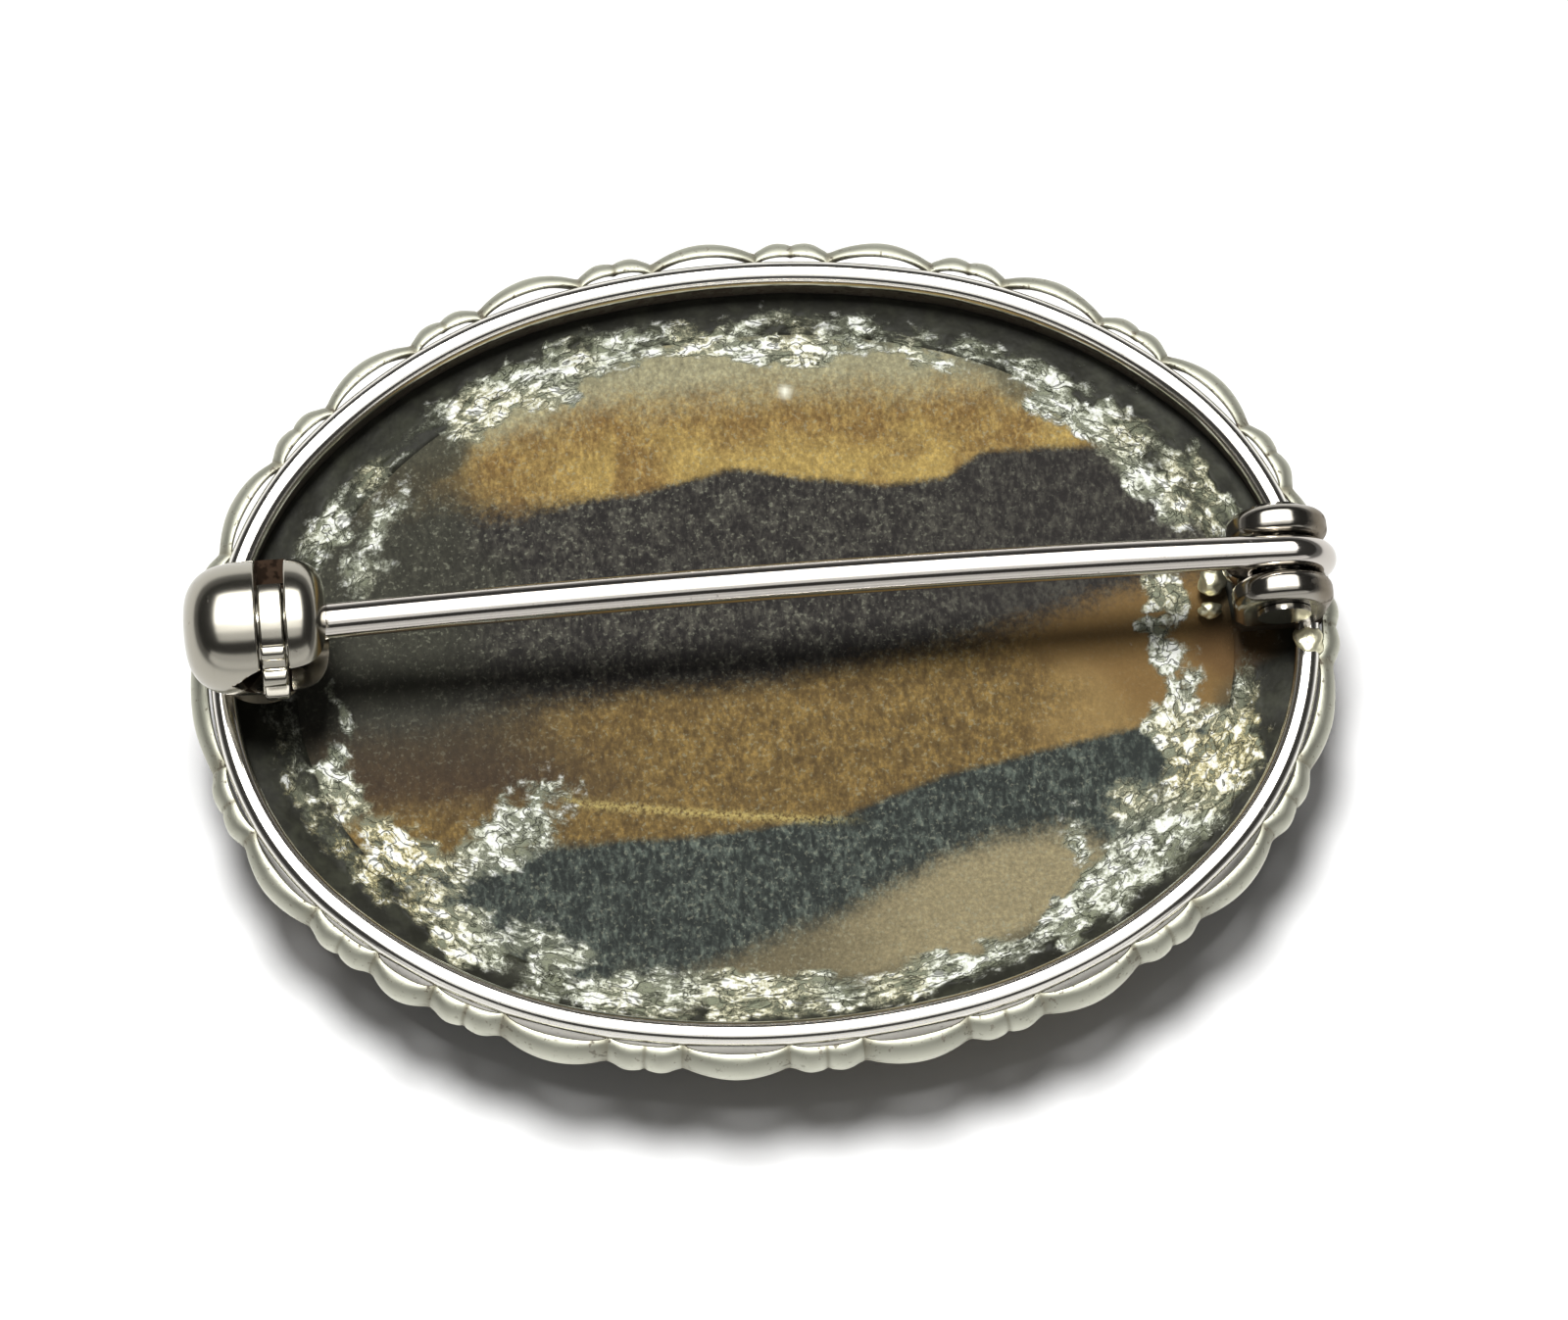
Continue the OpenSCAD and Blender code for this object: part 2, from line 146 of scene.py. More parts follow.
def softened(loop, reach):
    # Each corner of a closed outline is cut twice, at a distance of reach or a third of its side
    for share in (1.0, 0.4):
        after = np.roll(loop, -1, axis=0) - loop
        length = np.maximum(np.linalg.norm(after, axis=1, keepdims=True), 1e-9)
        cut = np.minimum(reach * share, length / 3)
        ends = np.stack([loop + after / length * cut, loop + after * (1 - cut / length)], axis=1)
        loop = ends.reshape(-1, loop.shape[1])
    return loop


def boxed(lowX, highX, lowY, highY, corner):
    # A rectangle with softened corners
    return softened(np.array([[lowX, lowY], [highX, lowY], [highX, highY], [lowX, highY]]), corner)


def gridFaces(rows, cols, closedRows, closedCols, first):
    # Four-sided faces between the points of a grid, numbered from first, row after row
    i = np.arange(rows if closedRows else rows - 1)[:, None]
    j = np.arange(cols if closedCols else cols - 1)[None, :]
    a, b = i * cols + j, i * cols + (j + 1) % cols
    c, d = (i + 1) % rows * cols + (j + 1) % cols, (i + 1) % rows * cols + j
    return np.stack([a, b, c, d], axis=-1).reshape(-1, 4) + first


def capped(loop):
    # A flat end: the loop's points drawn together to their middle
    return np.stack([loop, np.broadcast_to(loop.mean(axis=0), loop.shape)]), False, True


def closedTube(grid):
    # Rows of points that are each a closed loop, with a flat end at the first and the last
    return [(grid, False, True), capped(grid[0]), capped(grid[-1])]


def cutEnds(grid):
    # Flat ends of a grid that stops short of a full turn
    return [capped(grid[:, 0]), capped(grid[:, -1])]


def placed(name, data, place=(0, 0, 0), back=None):
    # An object of the scene at a place in millimetres, turned so that its own Z points back, if that is given
    thing = bpy.data.objects.new(name, data)
    thing.location = Vector(place) * mm
    if back is not None:
        thing.rotation_euler = Vector(back).to_track_quat("Z", "Y").to_euler()
    bpy.context.scene.collection.objects.link(thing)
    return thing


# Pieces of metal, which alone mirror the bright panels round the studio
shinyThings = bpy.data.collections.new("shinyThings")
# Points and edges closer than these, in millimetres, become one
merging = dict(doubles=0.0008, slivers=0.0004)


def makePiece(name, sheets, finish, marks=None, body="brooch", slot="silver", node="setting", sharpAngle=40):
    # Sheets are grids of points with their closed directions; doubles are merged and faces turned outwards.
    # Marks are what the finish reads: a value or array for each sheet, in a list if there are several
    points = np.concatenate([sheet[0].reshape(-1, 3) for sheet in sheets])
    faces, first = [], 0
    for grid, closedRows, closedCols in sheets:
        faces.append(gridFaces(grid.shape[0], grid.shape[1], closedRows, closedCols, first))
        first += grid.shape[0] * grid.shape[1]
    faces = np.concatenate(faces)
    mesh = bpy.data.meshes.new(name)
    mesh.vertices.add(len(points))
    mesh.vertices.foreach_set("co", points.astype(np.float32).ravel())
    mesh.loops.add(faces.size)
    mesh.loops.foreach_set("vertex_index", faces.astype(np.int32).ravel())
    mesh.polygons.add(len(faces))
    mesh.polygons.foreach_set("loop_start", np.arange(0, faces.size, 4, dtype=np.int32))
    mesh.update(calc_edges=True)
    for mark, values in (marks or {}).items():
        values = values if isinstance(values, list) else [values]
        spread = [np.broadcast_to(v, sheet[0].shape[:2]).ravel() for v, sheet in zip(values, sheets)]
        attribute = mesh.attributes.new(mark, "FLOAT", "POINT")
        attribute.data.foreach_set("value", np.concatenate(spread).astype(np.float32))
    shape = bmesh.new()
    shape.from_mesh(mesh)
    bmesh.ops.remove_doubles(shape, verts=shape.verts, dist=merging["doubles"])
    bmesh.ops.dissolve_degenerate(shape, edges=shape.edges, dist=merging["slivers"])
    bmesh.ops.recalc_face_normals(shape, faces=shape.faces)
    shape.to_mesh(mesh)
    shape.free()
    mesh.transform(Matrix.Scale(mm, 4))
    mesh.shade_smooth()
    mesh.set_sharp_from_angle(angle=math.radians(sharpAngle))
    mesh.materials.append(finish)
    piece = placed(name, mesh)
    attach(piece, body)
    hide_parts(node)
    if slot in ("silver", "pin_wire"):
        shinyThings.objects.link(piece)
    triangles = sum(len(polygon.vertices) - 2 for polygon in mesh.polygons)
    print(name, triangles, "triangles")


# Finishes


# How the picture is shown: a contrast a little stronger than a screen's own, and how brightly things are lit
picture = dict(contrast=0.8, lightLevel=1.2)


def tone(red, green, blue):
    # Colour as it looks in the finished picture, 0 to 255, as the linear colour that the shader takes
    shares = [(value / 255) ** picture["contrast"] for value in (red, green, blue)]
    linear = [v / 12.92 if v <= 0.04045 else ((v + 0.055) / 1.055) ** 2.4 for v in shares]
    return (*[min(0.95, v / picture["lightLevel"]) for v in linear], 1)


class Wire:
    # A node's output that takes part in sums: each operator adds one Math node
    def __init__(self, finish, socket):
        self.finish, self.socket = finish, socket

    def maths(self, operation, first, second):
        return self.finish.node("ShaderNodeMath", {"operation": operation}, {0: first, 1: second})

    def __add__(self, other):
        return self.maths("ADD", self, other)

    def __sub__(self, other):
        return self.maths("SUBTRACT", self, other)

    def __rsub__(self, other):
        return self.maths("SUBTRACT", other, self)

    def __mul__(self, other):
        return self.maths("MULTIPLY", self, other)

    def __abs__(self):
        return self.maths("ABSOLUTE", self, 0)

    __radd__, __rmul__ = __add__, __mul__


class Finish:
    # One material: its nodes, and the socket that each gives
    def __init__(self, name):
        self.material = bpy.data.materials.new(name)
        self.material.use_nodes = True
        self.tree = self.material.node_tree
        self.tree.nodes.clear()
        self.place = self.node("ShaderNodeTexCoord", {}, {}, "Object")

    def node(self, kind, settings, inputs, output=0):
        made = self.tree.nodes.new(kind)
        for key, value in settings.items():
            if key == "stops":
                elements = made.color_ramp.elements
                elements[0].position, elements[1].position = value[0][0], value[-1][0]
                for spot, _ in value[1:-1]:
                    elements.new(spot)
                for element, (_, colour) in zip(elements, value):
                    element.color = colour
            else:
                setattr(made, key, value)
        for key, value in inputs.items():
            if isinstance(value, Wire):
                self.tree.links.new(value.socket, made.inputs[key])
            else:
                made.inputs[key].default_value = value
        return Wire(self, made.outputs[output])

    def mark(self, name):
        return self.node("ShaderNodeAttribute", {"attribute_name": name}, {}, "Fac")

    def noise(self, size, detail=2, roughness=0.5, distortion=0.0, place=None):
        # Size is that of one patch, in millimetres
        inputs = {"Vector": place or self.place, "Scale": 1 / (size * mm), "Detail": detail,
                  "Roughness": roughness, "Distortion": distortion}
        return self.node("ShaderNodeTexNoise", {}, inputs)

    def stretched(self, scale, turn):
        # Places for a noise that is drawn out along a turn in degrees
        inputs = {"Vector": self.place, "Scale": scale, "Rotation": (0, 0, math.radians(turn))}
        return self.node("ShaderNodeMapping", {}, inputs)

    def step(self, value, low, high):
        inputs = {"Value": value, "From Min": low, "From Max": high}
        return self.node("ShaderNodeMapRange", {"interpolation_type": "SMOOTHSTEP"}, inputs)

    def mix(self, share, first, second, blend="MIX"):
        settings = {"data_type": "RGBA", "blend_type": blend}
        return self.node("ShaderNodeMix", settings, {0: share, 6: first, 7: second}, 2)

    def tinted(self, colour, mark, tint):
        # Colour where the mark is 0 and tint where it is 1
        return self.mix(self.mark(mark), colour, tint)

    def bump(self, height):
        # Height is in millimetres
        return self.node("ShaderNodeBump", {}, {"Height": height, "Distance": mm, "Strength": 1.0})

    def finished(self, **sockets):
        inputs = {key.replace("_", " "): value for key, value in sockets.items()}
        shader = self.node("ShaderNodeBsdfPrincipled", {}, inputs)
        output = self.tree.nodes.new("ShaderNodeOutputMaterial")
        self.tree.links.new(shader.socket, output.inputs["Surface"])
        return self.material


def silverFinish(name, look):
    # Silver whose tarnish film, with painted shade, lies in its recesses, with fine scratches and a slight
    # unevenness
    silver = Finish(name)
    patches = silver.noise(look["patchSize"], 4, 0.6)
    spots = silver.noise(look["spotSize"], 3, 0.6)
    recess = silver.mark("recess")
    # Film: tarnish and painted shade where the mark is high
    film = silver.step(recess + patches * look["patchShare"] - look["clean"], *look["filmStep"])
    dark = silver.step(spots + recess * look["spotGather"], look["spotFrom"], look["spotFrom"] + 0.1)
    # Near black where the mark is highest: painted shade in holes, slots and under parts
    deep = silver.step(recess, *look["deepStep"])
    colour = silver.mix(film, look["bright"], look["film"])
    colour = silver.mix(dark * look["spotStrength"], colour, look["spotColour"])
    colour = silver.mix(deep, colour, look["deep"])
    # Lighter where worn, with a painted sheen on the border's crown and lower outer edge: a painted
    # reflection of the pale floor
    colour = silver.tinted(colour, "worn", look["worn"])
    lengthwise = silver.stretched(look["scratchScale"], look["scratchTurn"])
    scratches = silver.noise(look["scratchSize"], 2, 0.6, 0, lengthwise)
    roughness = film * look["filmRoughness"] + scratches * look["scratchRoughness"] + look["roughness"]
    roughness = roughness + dark * look["darkRoughness"] + deep * look["darkRoughness"]
    height = scratches * look["scratchDepth"] + silver.noise(look["waveSize"], 1) * look["waveDepth"]
    normal = silver.bump(height + spots * look["grainDepth"])
    return silver.finished(Base_Color=colour, Metallic=1.0, Roughness=roughness, Normal=normal)


# The film colour is tarnish with painted shade, the deep colour is near-black painted shade, and the pale
# tint is wear with a painted sheen
brightLook = dict(
    bright=(0.84, 0.82, 0.77, 1), film=(0.22, 0.185, 0.135, 1), spotColour=(0.10, 0.075, 0.055, 1),
    deep=(0.035, 0.024, 0.017, 1), worn=(0.80, 0.80, 0.70, 1), filmStep=(0.3, 1.1), deepStep=(1.15, 1.35),
    patchSize=2.2, patchShare=0.6, clean=0.35, spotSize=0.35, spotGather=0.12, spotFrom=0.66,
    spotStrength=0.35, roughness=0.09, filmRoughness=0.25, darkRoughness=0.2, scratchSize=0.5,
    scratchScale=(0.12, 1.0, 1.0), scratchTurn=12, scratchRoughness=0.08, scratchDepth=0.002, waveSize=1.6,
    waveDepth=0.008, grainDepth=0.0,
)
# Kinds of silver, by what differs from the bright one
silverKinds = dict(
    brightSilver={},
    ballSilver=dict(bright=(0.46, 0.44, 0.385, 1), roughness=0.15),
    # Darker silver for the ears and rivet: painted shade, for the dark surroundings that they mirror
    earSilver=dict(bright=(0.40, 0.38, 0.34, 1), roughness=0.12),
    pinSilver=dict(bright=(0.62, 0.59, 0.55, 1), clean=0.5),
    solder=dict(bright=(0.86, 0.83, 0.64, 1), roughness=0.38, waveSize=0.25, waveDepth=0.03, clean=0.3),
    satinSilver=dict(bright=(0.31, 0.31, 0.26, 1), film=(0.20, 0.18, 0.13, 1), roughness=0.48, spotFrom=0.60,
                     spotSize=0.22, spotStrength=0.7, clean=0.1, scratchRoughness=0.12, grainDepth=0.006,
                     waveDepth=0.02, waveSize=0.7),
    wallSilver=dict(bright=(0.56, 0.54, 0.49, 1), film=(0.19, 0.17, 0.145, 1), roughness=0.25, spotFrom=0.62,
                    spotStrength=0.4, clean=0.1, grainDepth=0.002, waveDepth=0.015, waveSize=1.4),
)


def crustPattern(finish, look):
    # Dried cement: pale strands that run along the ring, painted glints of near white, and thin dark curled
    # lines between them.
    # Gives its share, colour and height
    ring = finish.node("ShaderNodeCombineXYZ", {}, {axis: finish.mark("ring" + axis) for axis in "XYZ"})
    fine = finish.noise(look["fineSize"], 3, 0.7)
    strands = finish.noise(look["strandSize"], 3, 0.55, 0.5, ring)
    curls = finish.noise(look["curlSize"], 2, 0.5, 1.0, ring)
    rags = finish.noise(look["ragSize"], 4, 0.7)
    mixed = strands + (fine - 0.5) * look["fineShare"] + finish.mark("crust") * look["thickShare"]
    bright = finish.step(mixed, *look["brightStep"])
    # Painted glints: near-white specks where the strands are strongest
    paintedGlint = finish.step(mixed, *look["paintedGlintStep"])
    lines = 1 - finish.step(abs(curls - 0.5), 0.0, look["lineHalf"])
    pale = finish.tinted(look["pale"], "warm", look["yellowish"])
    colour = finish.mix(bright, look["dull"], pale)
    colour = finish.mix(paintedGlint, colour, look["paintedGlint"])
    colour = finish.mix(lines * look["lineStrength"], colour, look["gap"])
    edge = finish.mark("crust") + (rags - 0.5) * look["rags"]
    share = finish.step(edge + (mixed - look["edgeLevel"]) * look["edgeShare"], *look["edgeStep"])
    return share, colour, bright * look["brightRise"] + fine * look["fineRise"] - lines * look["lineDrop"]


crustLook = dict(
    dull=tone(138, 142, 120), pale=tone(206, 210, 190), yellowish=tone(212, 202, 154), gap=tone(56, 58, 47),
    paintedGlint=tone(253, 255, 248), strandSize=0.3, fineSize=0.1, curlSize=0.4, ragSize=0.7, rags=1.0,
    fineShare=0.45, thickShare=0.12, brightStep=(0.47, 0.62), paintedGlintStep=(0.61, 0.74), edgeStep=(0.2, 0.75),
    edgeLevel=0.56, edgeShare=0.9, lineHalf=0.035, lineStrength=0.7, brightRise=0.5, fineRise=0.35,
    lineDrop=0.35,
)


def agateFinish(look):
    # Bands that meet at edges drawn through listed places, each edge a mark that is 0 on it and 1 a softness
    # above it
    agate = Finish("bandedAgate")
    wander = agate.noise(look["wanderSize"], 3, 0.55) - 0.5
    ragged = agate.noise(look["raggedSize"], 3, 0.7) - 0.5
    clouds = agate.noise(look["cloudSize"], 5, 0.7)
    clumps = agate.noise(look["clumpSize"], 4, 0.7)
    grain = agate.noise(look["grainSize"], 3, 0.75)
    fibres = agate.noise(look["fibreSize"], 2, 0.6, 0.4, agate.stretched((1.0, 0.5, 1.0), 25))

    def two(share, low, high, first, second):
        return agate.mix(agate.step(share, low, high), look[first], look[second])

    amber = two(clouds * 0.6 + fibres * 0.4, 0.38, 0.62, "amber", "amberLight")
    amber = agate.tinted(amber, "bright", look["amberBright"])
    honey = two(clouds * 0.25 + clumps * 0.35 + fibres * 0.4, 0.36, 0.66, "honey", "honeyLight")
    honey = agate.tinted(honey, "deepBrown", look["deepBrown"])
    honey = agate.tinted(honey, "sunny", agate.tinted(look["honeySmooth"], "pale", look["honeyPale"]))
    moss = two(clumps * 0.4 + fibres * 0.6, 0.42, 0.68, "moss", "mossLight")
    smoke = two(clumps * 0.5 + fibres * 0.5, 0.4, 0.68, "smoke", "smokeWarm")
    darker = agate.mark("sandDark") * 0.7 + agate.step(fibres * 0.5 + clumps * 0.5, 0.42, 0.62) * 0.3
    sand = agate.mix(darker, look["sand"], look["sandDark"])
    colour = look["mist"]
    bands = dict(edgeAmber=amber, edgeSmoke=smoke, edgeHoney=honey, edgeMoss=moss, edgeSand=sand)
    for edge, below in bands.items():
        share = agate.step(agate.mark(edge) + wander * look["wander"] + ragged * look["ragged"], 0.5, -0.5)
        colour = agate.mix(share, colour, below)
    # Grey-green haze towards the left, and a film with painted shade in a ring along the frame
    colour = agate.tinted(colour, "haze", look["haze"])
    speckle = agate.mark("speckle")
    spread = agate.node("ShaderNodeValToRGB", {"stops": look["grainStops"]},
                        {"Fac": grain * 0.45 + clumps * 0.25 + fibres * 0.3})
    colour = agate.mix(speckle, colour, agate.mix(1.0, colour, spread, "MULTIPLY"))
    # Painted glints: pale specks where the ground back is speckled
    sparkle = agate.step(agate.noise(look["sparkSize"], 2, 0.6) + clumps * 0.4, *look["sparkStep"])
    colour = agate.mix(sparkle * speckle * look["sparkStrength"], colour, look["spark"])
    colour = agate.mix(agate.mark("vein") * agate.step(grain, *look["veinStep"]), colour, look["vein"])
    for stain in ("rust", "fleck"):
        colour = agate.tinted(colour, stain, look[stain])
    share, crust, tall = crustPattern(agate, crustLook)
    share = share * agate.mark("ground")
    colour = agate.mix(share, colour, crust)
    height = grain * (1 - share) * look["groundDepth"] + share * tall * look["crustDepth"]
    rough = agate.mark("ground") * look["groundRoughness"] + look["polish"]
    return agate.finished(Base_Color=colour, Roughness=rough, Normal=agate.bump(height))


agateLook = dict(
    mist=tone(156, 150, 118), amber=tone(122, 94, 50), amberLight=tone(151, 126, 72),
    amberBright=tone(176, 150, 84), smoke=tone(40, 37, 35), smokeWarm=tone(74, 72, 64),
    honey=tone(96, 76, 43), honeyLight=tone(131, 107, 58), honeySmooth=tone(124, 97, 55),
    honeyPale=tone(150, 124, 76), deepBrown=tone(56, 44, 36), moss=tone(44, 49, 46),
    mossLight=tone(82, 90, 82), sand=tone(152, 140, 106), sandDark=tone(96, 88, 66), haze=tone(56, 56, 46),
    spark=tone(158, 160, 138), vein=tone(206, 188, 116), rust=tone(98, 72, 40), fleck=tone(255, 255, 236),
    sparkStep=(0.76, 0.9), sparkStrength=0.35, veinStep=(0.35, 0.6),
    grainStops=[(0.30, (0.54, 0.54, 0.54, 1)), (0.5, (0.95, 0.95, 0.95, 1)), (0.70, (1.6, 1.6, 1.57, 1))],
    wanderSize=1.2, wander=0.6, raggedSize=0.16, ragged=1.0, cloudSize=1.3, clumpSize=0.45, grainSize=0.12,
    fibreSize=0.14, sparkSize=0.13, groundDepth=0.03, crustDepth=0.09, groundRoughness=0.72, polish=0.1,
)


def cementFinish(look):
    # The smooth film of cement beside the frame, its dark colour partly the cement's own and partly painted
    # shade of the gutter by the wall, under the same crust as the stone's
    cement = Finish("driedCement")
    share, crust, tall = crustPattern(cement, crustLook)
    smear = cement.noise(look["smearSize"], 3, 0.6)
    film = cement.mix(cement.step(smear, *look["smearStep"]), look["film"], look["filmLight"])
    film = cement.tinted(film, "rust", look["rust"])
    colour = cement.mix(share, film, crust)
    height = share * tall * look["crustDepth"] + smear * look["smearDepth"]
    roughness = share * look["crustRoughness"] + look["roughness"]
    return cement.finished(Base_Color=colour, Specular_IOR_Level=0.2, Roughness=roughness,
                           Normal=cement.bump(height))


cementLook = dict(
    film=tone(36, 36, 29), filmLight=tone(54, 55, 44), rust=tone(88, 64, 34), smearSize=0.9,
    smearStep=(0.4, 0.7), smearDepth=0.04, crustDepth=0.09, roughness=0.5, crustRoughness=0.25,
)

silvers = {name: silverFinish(name, {**brightLook, **changes}) for name, changes in silverKinds.items()}
bandedAgate = agateFinish(agateLook)
driedCement = cementFinish(cementLook)
print("finishes made")


# Frame and border

frameSizes = dict(
    height=3.9, lipReach=0.33, lipRise=0.2, lipFace=0.12, innerRise=0.7, outerRise=0.65, corner=0.05,
    innerRecess=1.1, wireSteps=26, alongSteps=900,
)


def carried(section, count):
    # A section of offsets and heights carried along the oval
    x, y = ovalPoint(turnsAlong(count), section[:, 0])
    return stacked(x, y, section[:, 1]), True, True


def makeFrame():
    # The rim's wire is its own sheet, so that it keeps a bright finish over the dark wall
    f, half, wire, rim = frameSizes, brooch["wallHalf"], brooch["wireRadius"], brooch["rimZ"]
    front, lip, top = rim - f["height"], -half - f["lipReach"], rim - wire
    wall = [[-half, front + f["innerRise"]], [lip, front + f["lipRise"]], [lip + f["lipFace"], front],
            [half, front + f["outerRise"]], [half, top], [-half, top]]
    wall = softened(np.array(wall), f["corner"])
    turn = fullTurn(f["wireSteps"])
    wireLoop = np.stack([wire * np.cos(turn), top + wire * np.sin(turn)], axis=1)
    # Tarnish with painted shade on the inner side of the wall, beside the stone
    recess = f["innerRecess"] * (wall[:, 0] < 0)
    makePiece("frame_wall", [carried(wall, f["alongSteps"])], silvers["wallSilver"], {"recess": recess})
    makePiece("rim_wire", [carried(wireLoop, f["alongSteps"])], silvers["brightSilver"])


borderSizes = dict(
    thickness=0.34, height=1.1, topZ=5.75, lobeReach=1.06, endReach=0.94, bumpReach=0.95, notchReach=0.86,
    footReach=0.75, footIn=0.18, tabLength=2.06, longPitch=5.06, longTabs=15, longStart=55.25, shortPitch=4.9,
    shortTabs=2, shortStart=46.4, notchRise=0.25, bumpPower=1.4, lobePower=0.8, tabInPower=0.4,
    lobeInPower=0.5, grooveHalf=0.08, grooveDepth=0.05, alongSteps=2600, pillow=0.05, topLedge=0.2,
    smoothing=6, farReach=0.12, wobbleSize=0.9, wobble=0.03, wobbleUp=1.5, lowRecess=0.6, grooveRecess=0.5,
    wearAndSheenLow=0.45, wearAndSheenHigh=0.55, grooveWearAndSheen=0.5,
)
# The strip's rounded top: its steps, shares of the depth and height where it starts, and how worn it is, with
# a painted sheen that evens out its shading
stripTop = dict(steps=13, start=0.12, foot=0.42, wearAndSheenLeast=0.1, wearAndSheenMore=0.75, wearAndSheenPower=1.5)
# The points below the top: shares of the depth, 0 inside and 1 outside, and of the height, tarnish with
# painted shade, and wear with a painted sheen, brightest on the lower outer edge
stripUnder = [(0.99, 0.08, 0.35, 1), (0.95, 0.01, 0.35, 1), (0.88, 0.0, 0.35, 0.8), (0.7, 0.0, 0.35, 0.3),
              (0.62, 0.05, 0.35, 0), (0.3, 0.5, 0.35, 0), (0.05, 0.88, 0.35, 0), (0.05, 0.97, 0.35, 0)]


def borderFaces(length):
    # Outer and inner reach of the strip at each length, with pairs of bumps on the tabs and one rise on each
    # lobe, how far it swells, and the groove that parts the two bumps of a tab
    b = borderSizes
    tabs = np.concatenate([b["longStart"] + np.arange(b["longTabs"]) * b["longPitch"],
                           b["shortStart"] + ovalLength + np.arange(b["shortTabs"]) * b["shortPitch"],
                           [b["longStart"] + ovalLength]])
    half, foot, footIn = b["tabLength"] / 2, b["footReach"], b["footIn"]
    spot = np.mod(length - tabs[0] + half, ovalLength) + tabs[0] - half
    index = np.clip(np.searchsorted(tabs - half, spot, side="right") - 1, 0, len(tabs) - 2)
    here, after = tabs[index], tabs[index + 1]
    onTab = spot < here + half
    share = np.clip((spot - here) / half, -1, 1)
    arch = np.maximum(0, 1 - share ** 2)
    notch = b["notchReach"] - foot
    bump = b["bumpReach"] - b["notchReach"] + b["notchRise"] * notch
    tabOut = foot + notch * arch + bump * np.abs(np.sin(math.pi * share)) ** b["bumpPower"]
    tabIn = blend(footIn, b["bumpReach"] - b["thickness"], arch ** b["tabInPower"])
    reach = blend(b["lobeReach"], b["endReach"], np.cos(turnAt((here + after) / 2)) ** 4)
    along = np.clip((spot - here - half) / (after - here - 2 * half), 0, 1)
    swell = np.maximum(0, np.sin(math.pi * along))
    lobeOut = blend(foot, reach, swell ** b["lobePower"])
    lobeIn = blend(footIn, reach - b["thickness"], swell ** b["lobeInPower"])
    groove = onTab * np.exp(-(share / b["grooveHalf"]) ** 2)
    onLobe = np.stack([lobeOut, lobeIn, swell])
    return *np.where(onTab, np.stack([tabOut, tabIn, np.sqrt(arch)]), onLobe), groove


def stripSection():
    # Rows of depth, height, tarnish with painted shade, and wear with a painted sheen: a quarter round that
    # falls away outwards, then what lies below
    t = stripTop
    share = np.linspace(0, 1, t["steps"])
    depth = blend(t["start"], 1, np.sin(share * math.pi / 2))
    height = blend(t["foot"], 1, np.cos(share * math.pi / 2))
    worn = t["wearAndSheenLeast"] + t["wearAndSheenMore"] * share ** t["wearAndSheenPower"]
    crown = np.stack([depth, height, share * 0, worn])
    return np.concatenate([crown, np.transpose(stripUnder)], axis=1)


def makeBorder():
    # The strip's section stretched between its inner and outer face at each length along the oval
    b = borderSizes
    length = (np.arange(b["alongSteps"]) * ovalLength / b["alongSteps"])[:, None]
    out, inn, swell, groove = borderFaces(length)
    out = np.mean([np.roll(out, shift) for shift in range(-b["smoothing"], b["smoothing"] + 1)], axis=0)
    turn = turnAt(length)
    wobble = drift(length, length * 0, b["wobbleSize"], 5, b["wobble"])
    far = b["farReach"] * np.maximum(0, np.sin(turn)) * swell
    out = out + wobble + b["pillow"] * swell + far - b["grooveDepth"] * groove
    inn = inn - b["topLedge"] * swell + far
    depth, height, recess, worn = stripSection()
    x, y = ovalPoint(turn, blend(inn, out, depth))
    z = b["topZ"] - b["height"] * (1 - height) + wobble * b["wobbleUp"]
    # Tarnish with painted shade in the valleys between lobes, in the groove of each tab and on the inner and
    # lower faces
    recess = recess + b["lowRecess"] * (1 - swell) ** 2 + b["grooveRecess"] * groove
    # Wear and painted sheen: more on the lobes, less in the groove of each tab
    worn = worn * (b["wearAndSheenLow"] + b["wearAndSheenHigh"] * swell) * (1 - b["grooveWearAndSheen"] * groove)
    makePiece("border_strip", [(stacked(x, y, z), True, True)], silvers["satinSilver"],
              {"recess": recess, "worn": worn})


makeFrame()
makeBorder()
print("frame and border made")


# Stone and cement

stoneSizes = dict(
    flatRings=112, bevelRings=6, domeRings=44, aroundSteps=420, domeHeight=3.2, lastRing=0.98, topRings=8,
)

# Edges between the bands from top to bottom, as places x, y, and their softness at the left and right
bandEdges = dict(
    edgeAmber=dict(places=[(-10, 6.6), (-4.7, 8.0), (1, 8.2), (6.8, 8.0), (10, 7.0)], soft=(1.4, 1.7)),
    edgeSmoke=dict(places=[(-12, 5.2), (-8.8, 5.4), (-7.1, 5.1), (-3.4, 5.3), (-0.5, 5.95), (1.5, 5.5),
                           (3.7, 5.15), (5.5, 5.25), (6.7, 5.95), (8.4, 6.0), (10.0, 5.9), (11.4, 5.8)],
                   soft=(1.3, 0.32)),
    edgeHoney=dict(places=[(-13, -1.5), (-5.2, -0.8), (0.5, -0.6), (6.3, 0.3), (9.2, 1.1), (14, 2.2)],
                   soft=(1.4, 1.1)),
    edgeMoss=dict(places=[(-13, -6.2), (-9.5, -5.4), (-7.1, -5.05), (-2.6, -5.1), (2, -4.7), (5, -3.7),
                          (9.2, -2.9), (12, -2.4), (14, -1.9)], soft=(0.7, 0.3)),
    edgeSand=dict(places=[(-14, -16), (-4, -9.6), (-0.6, -8.4), (1.5, -7.7), (3.2, -6.9), (5.4, -5.95),
                          (8.4, -5.5), (9.6, -6.2), (12, -8.5)], soft=(1.0, 1.1)),
)
# The thin pale vein under the honey band
veinPlaces = [(-6.2, -3.6), (-5.6, -3.9), (-2.6, -4.35), (1.6, -4.85), (3.0, -4.9)]
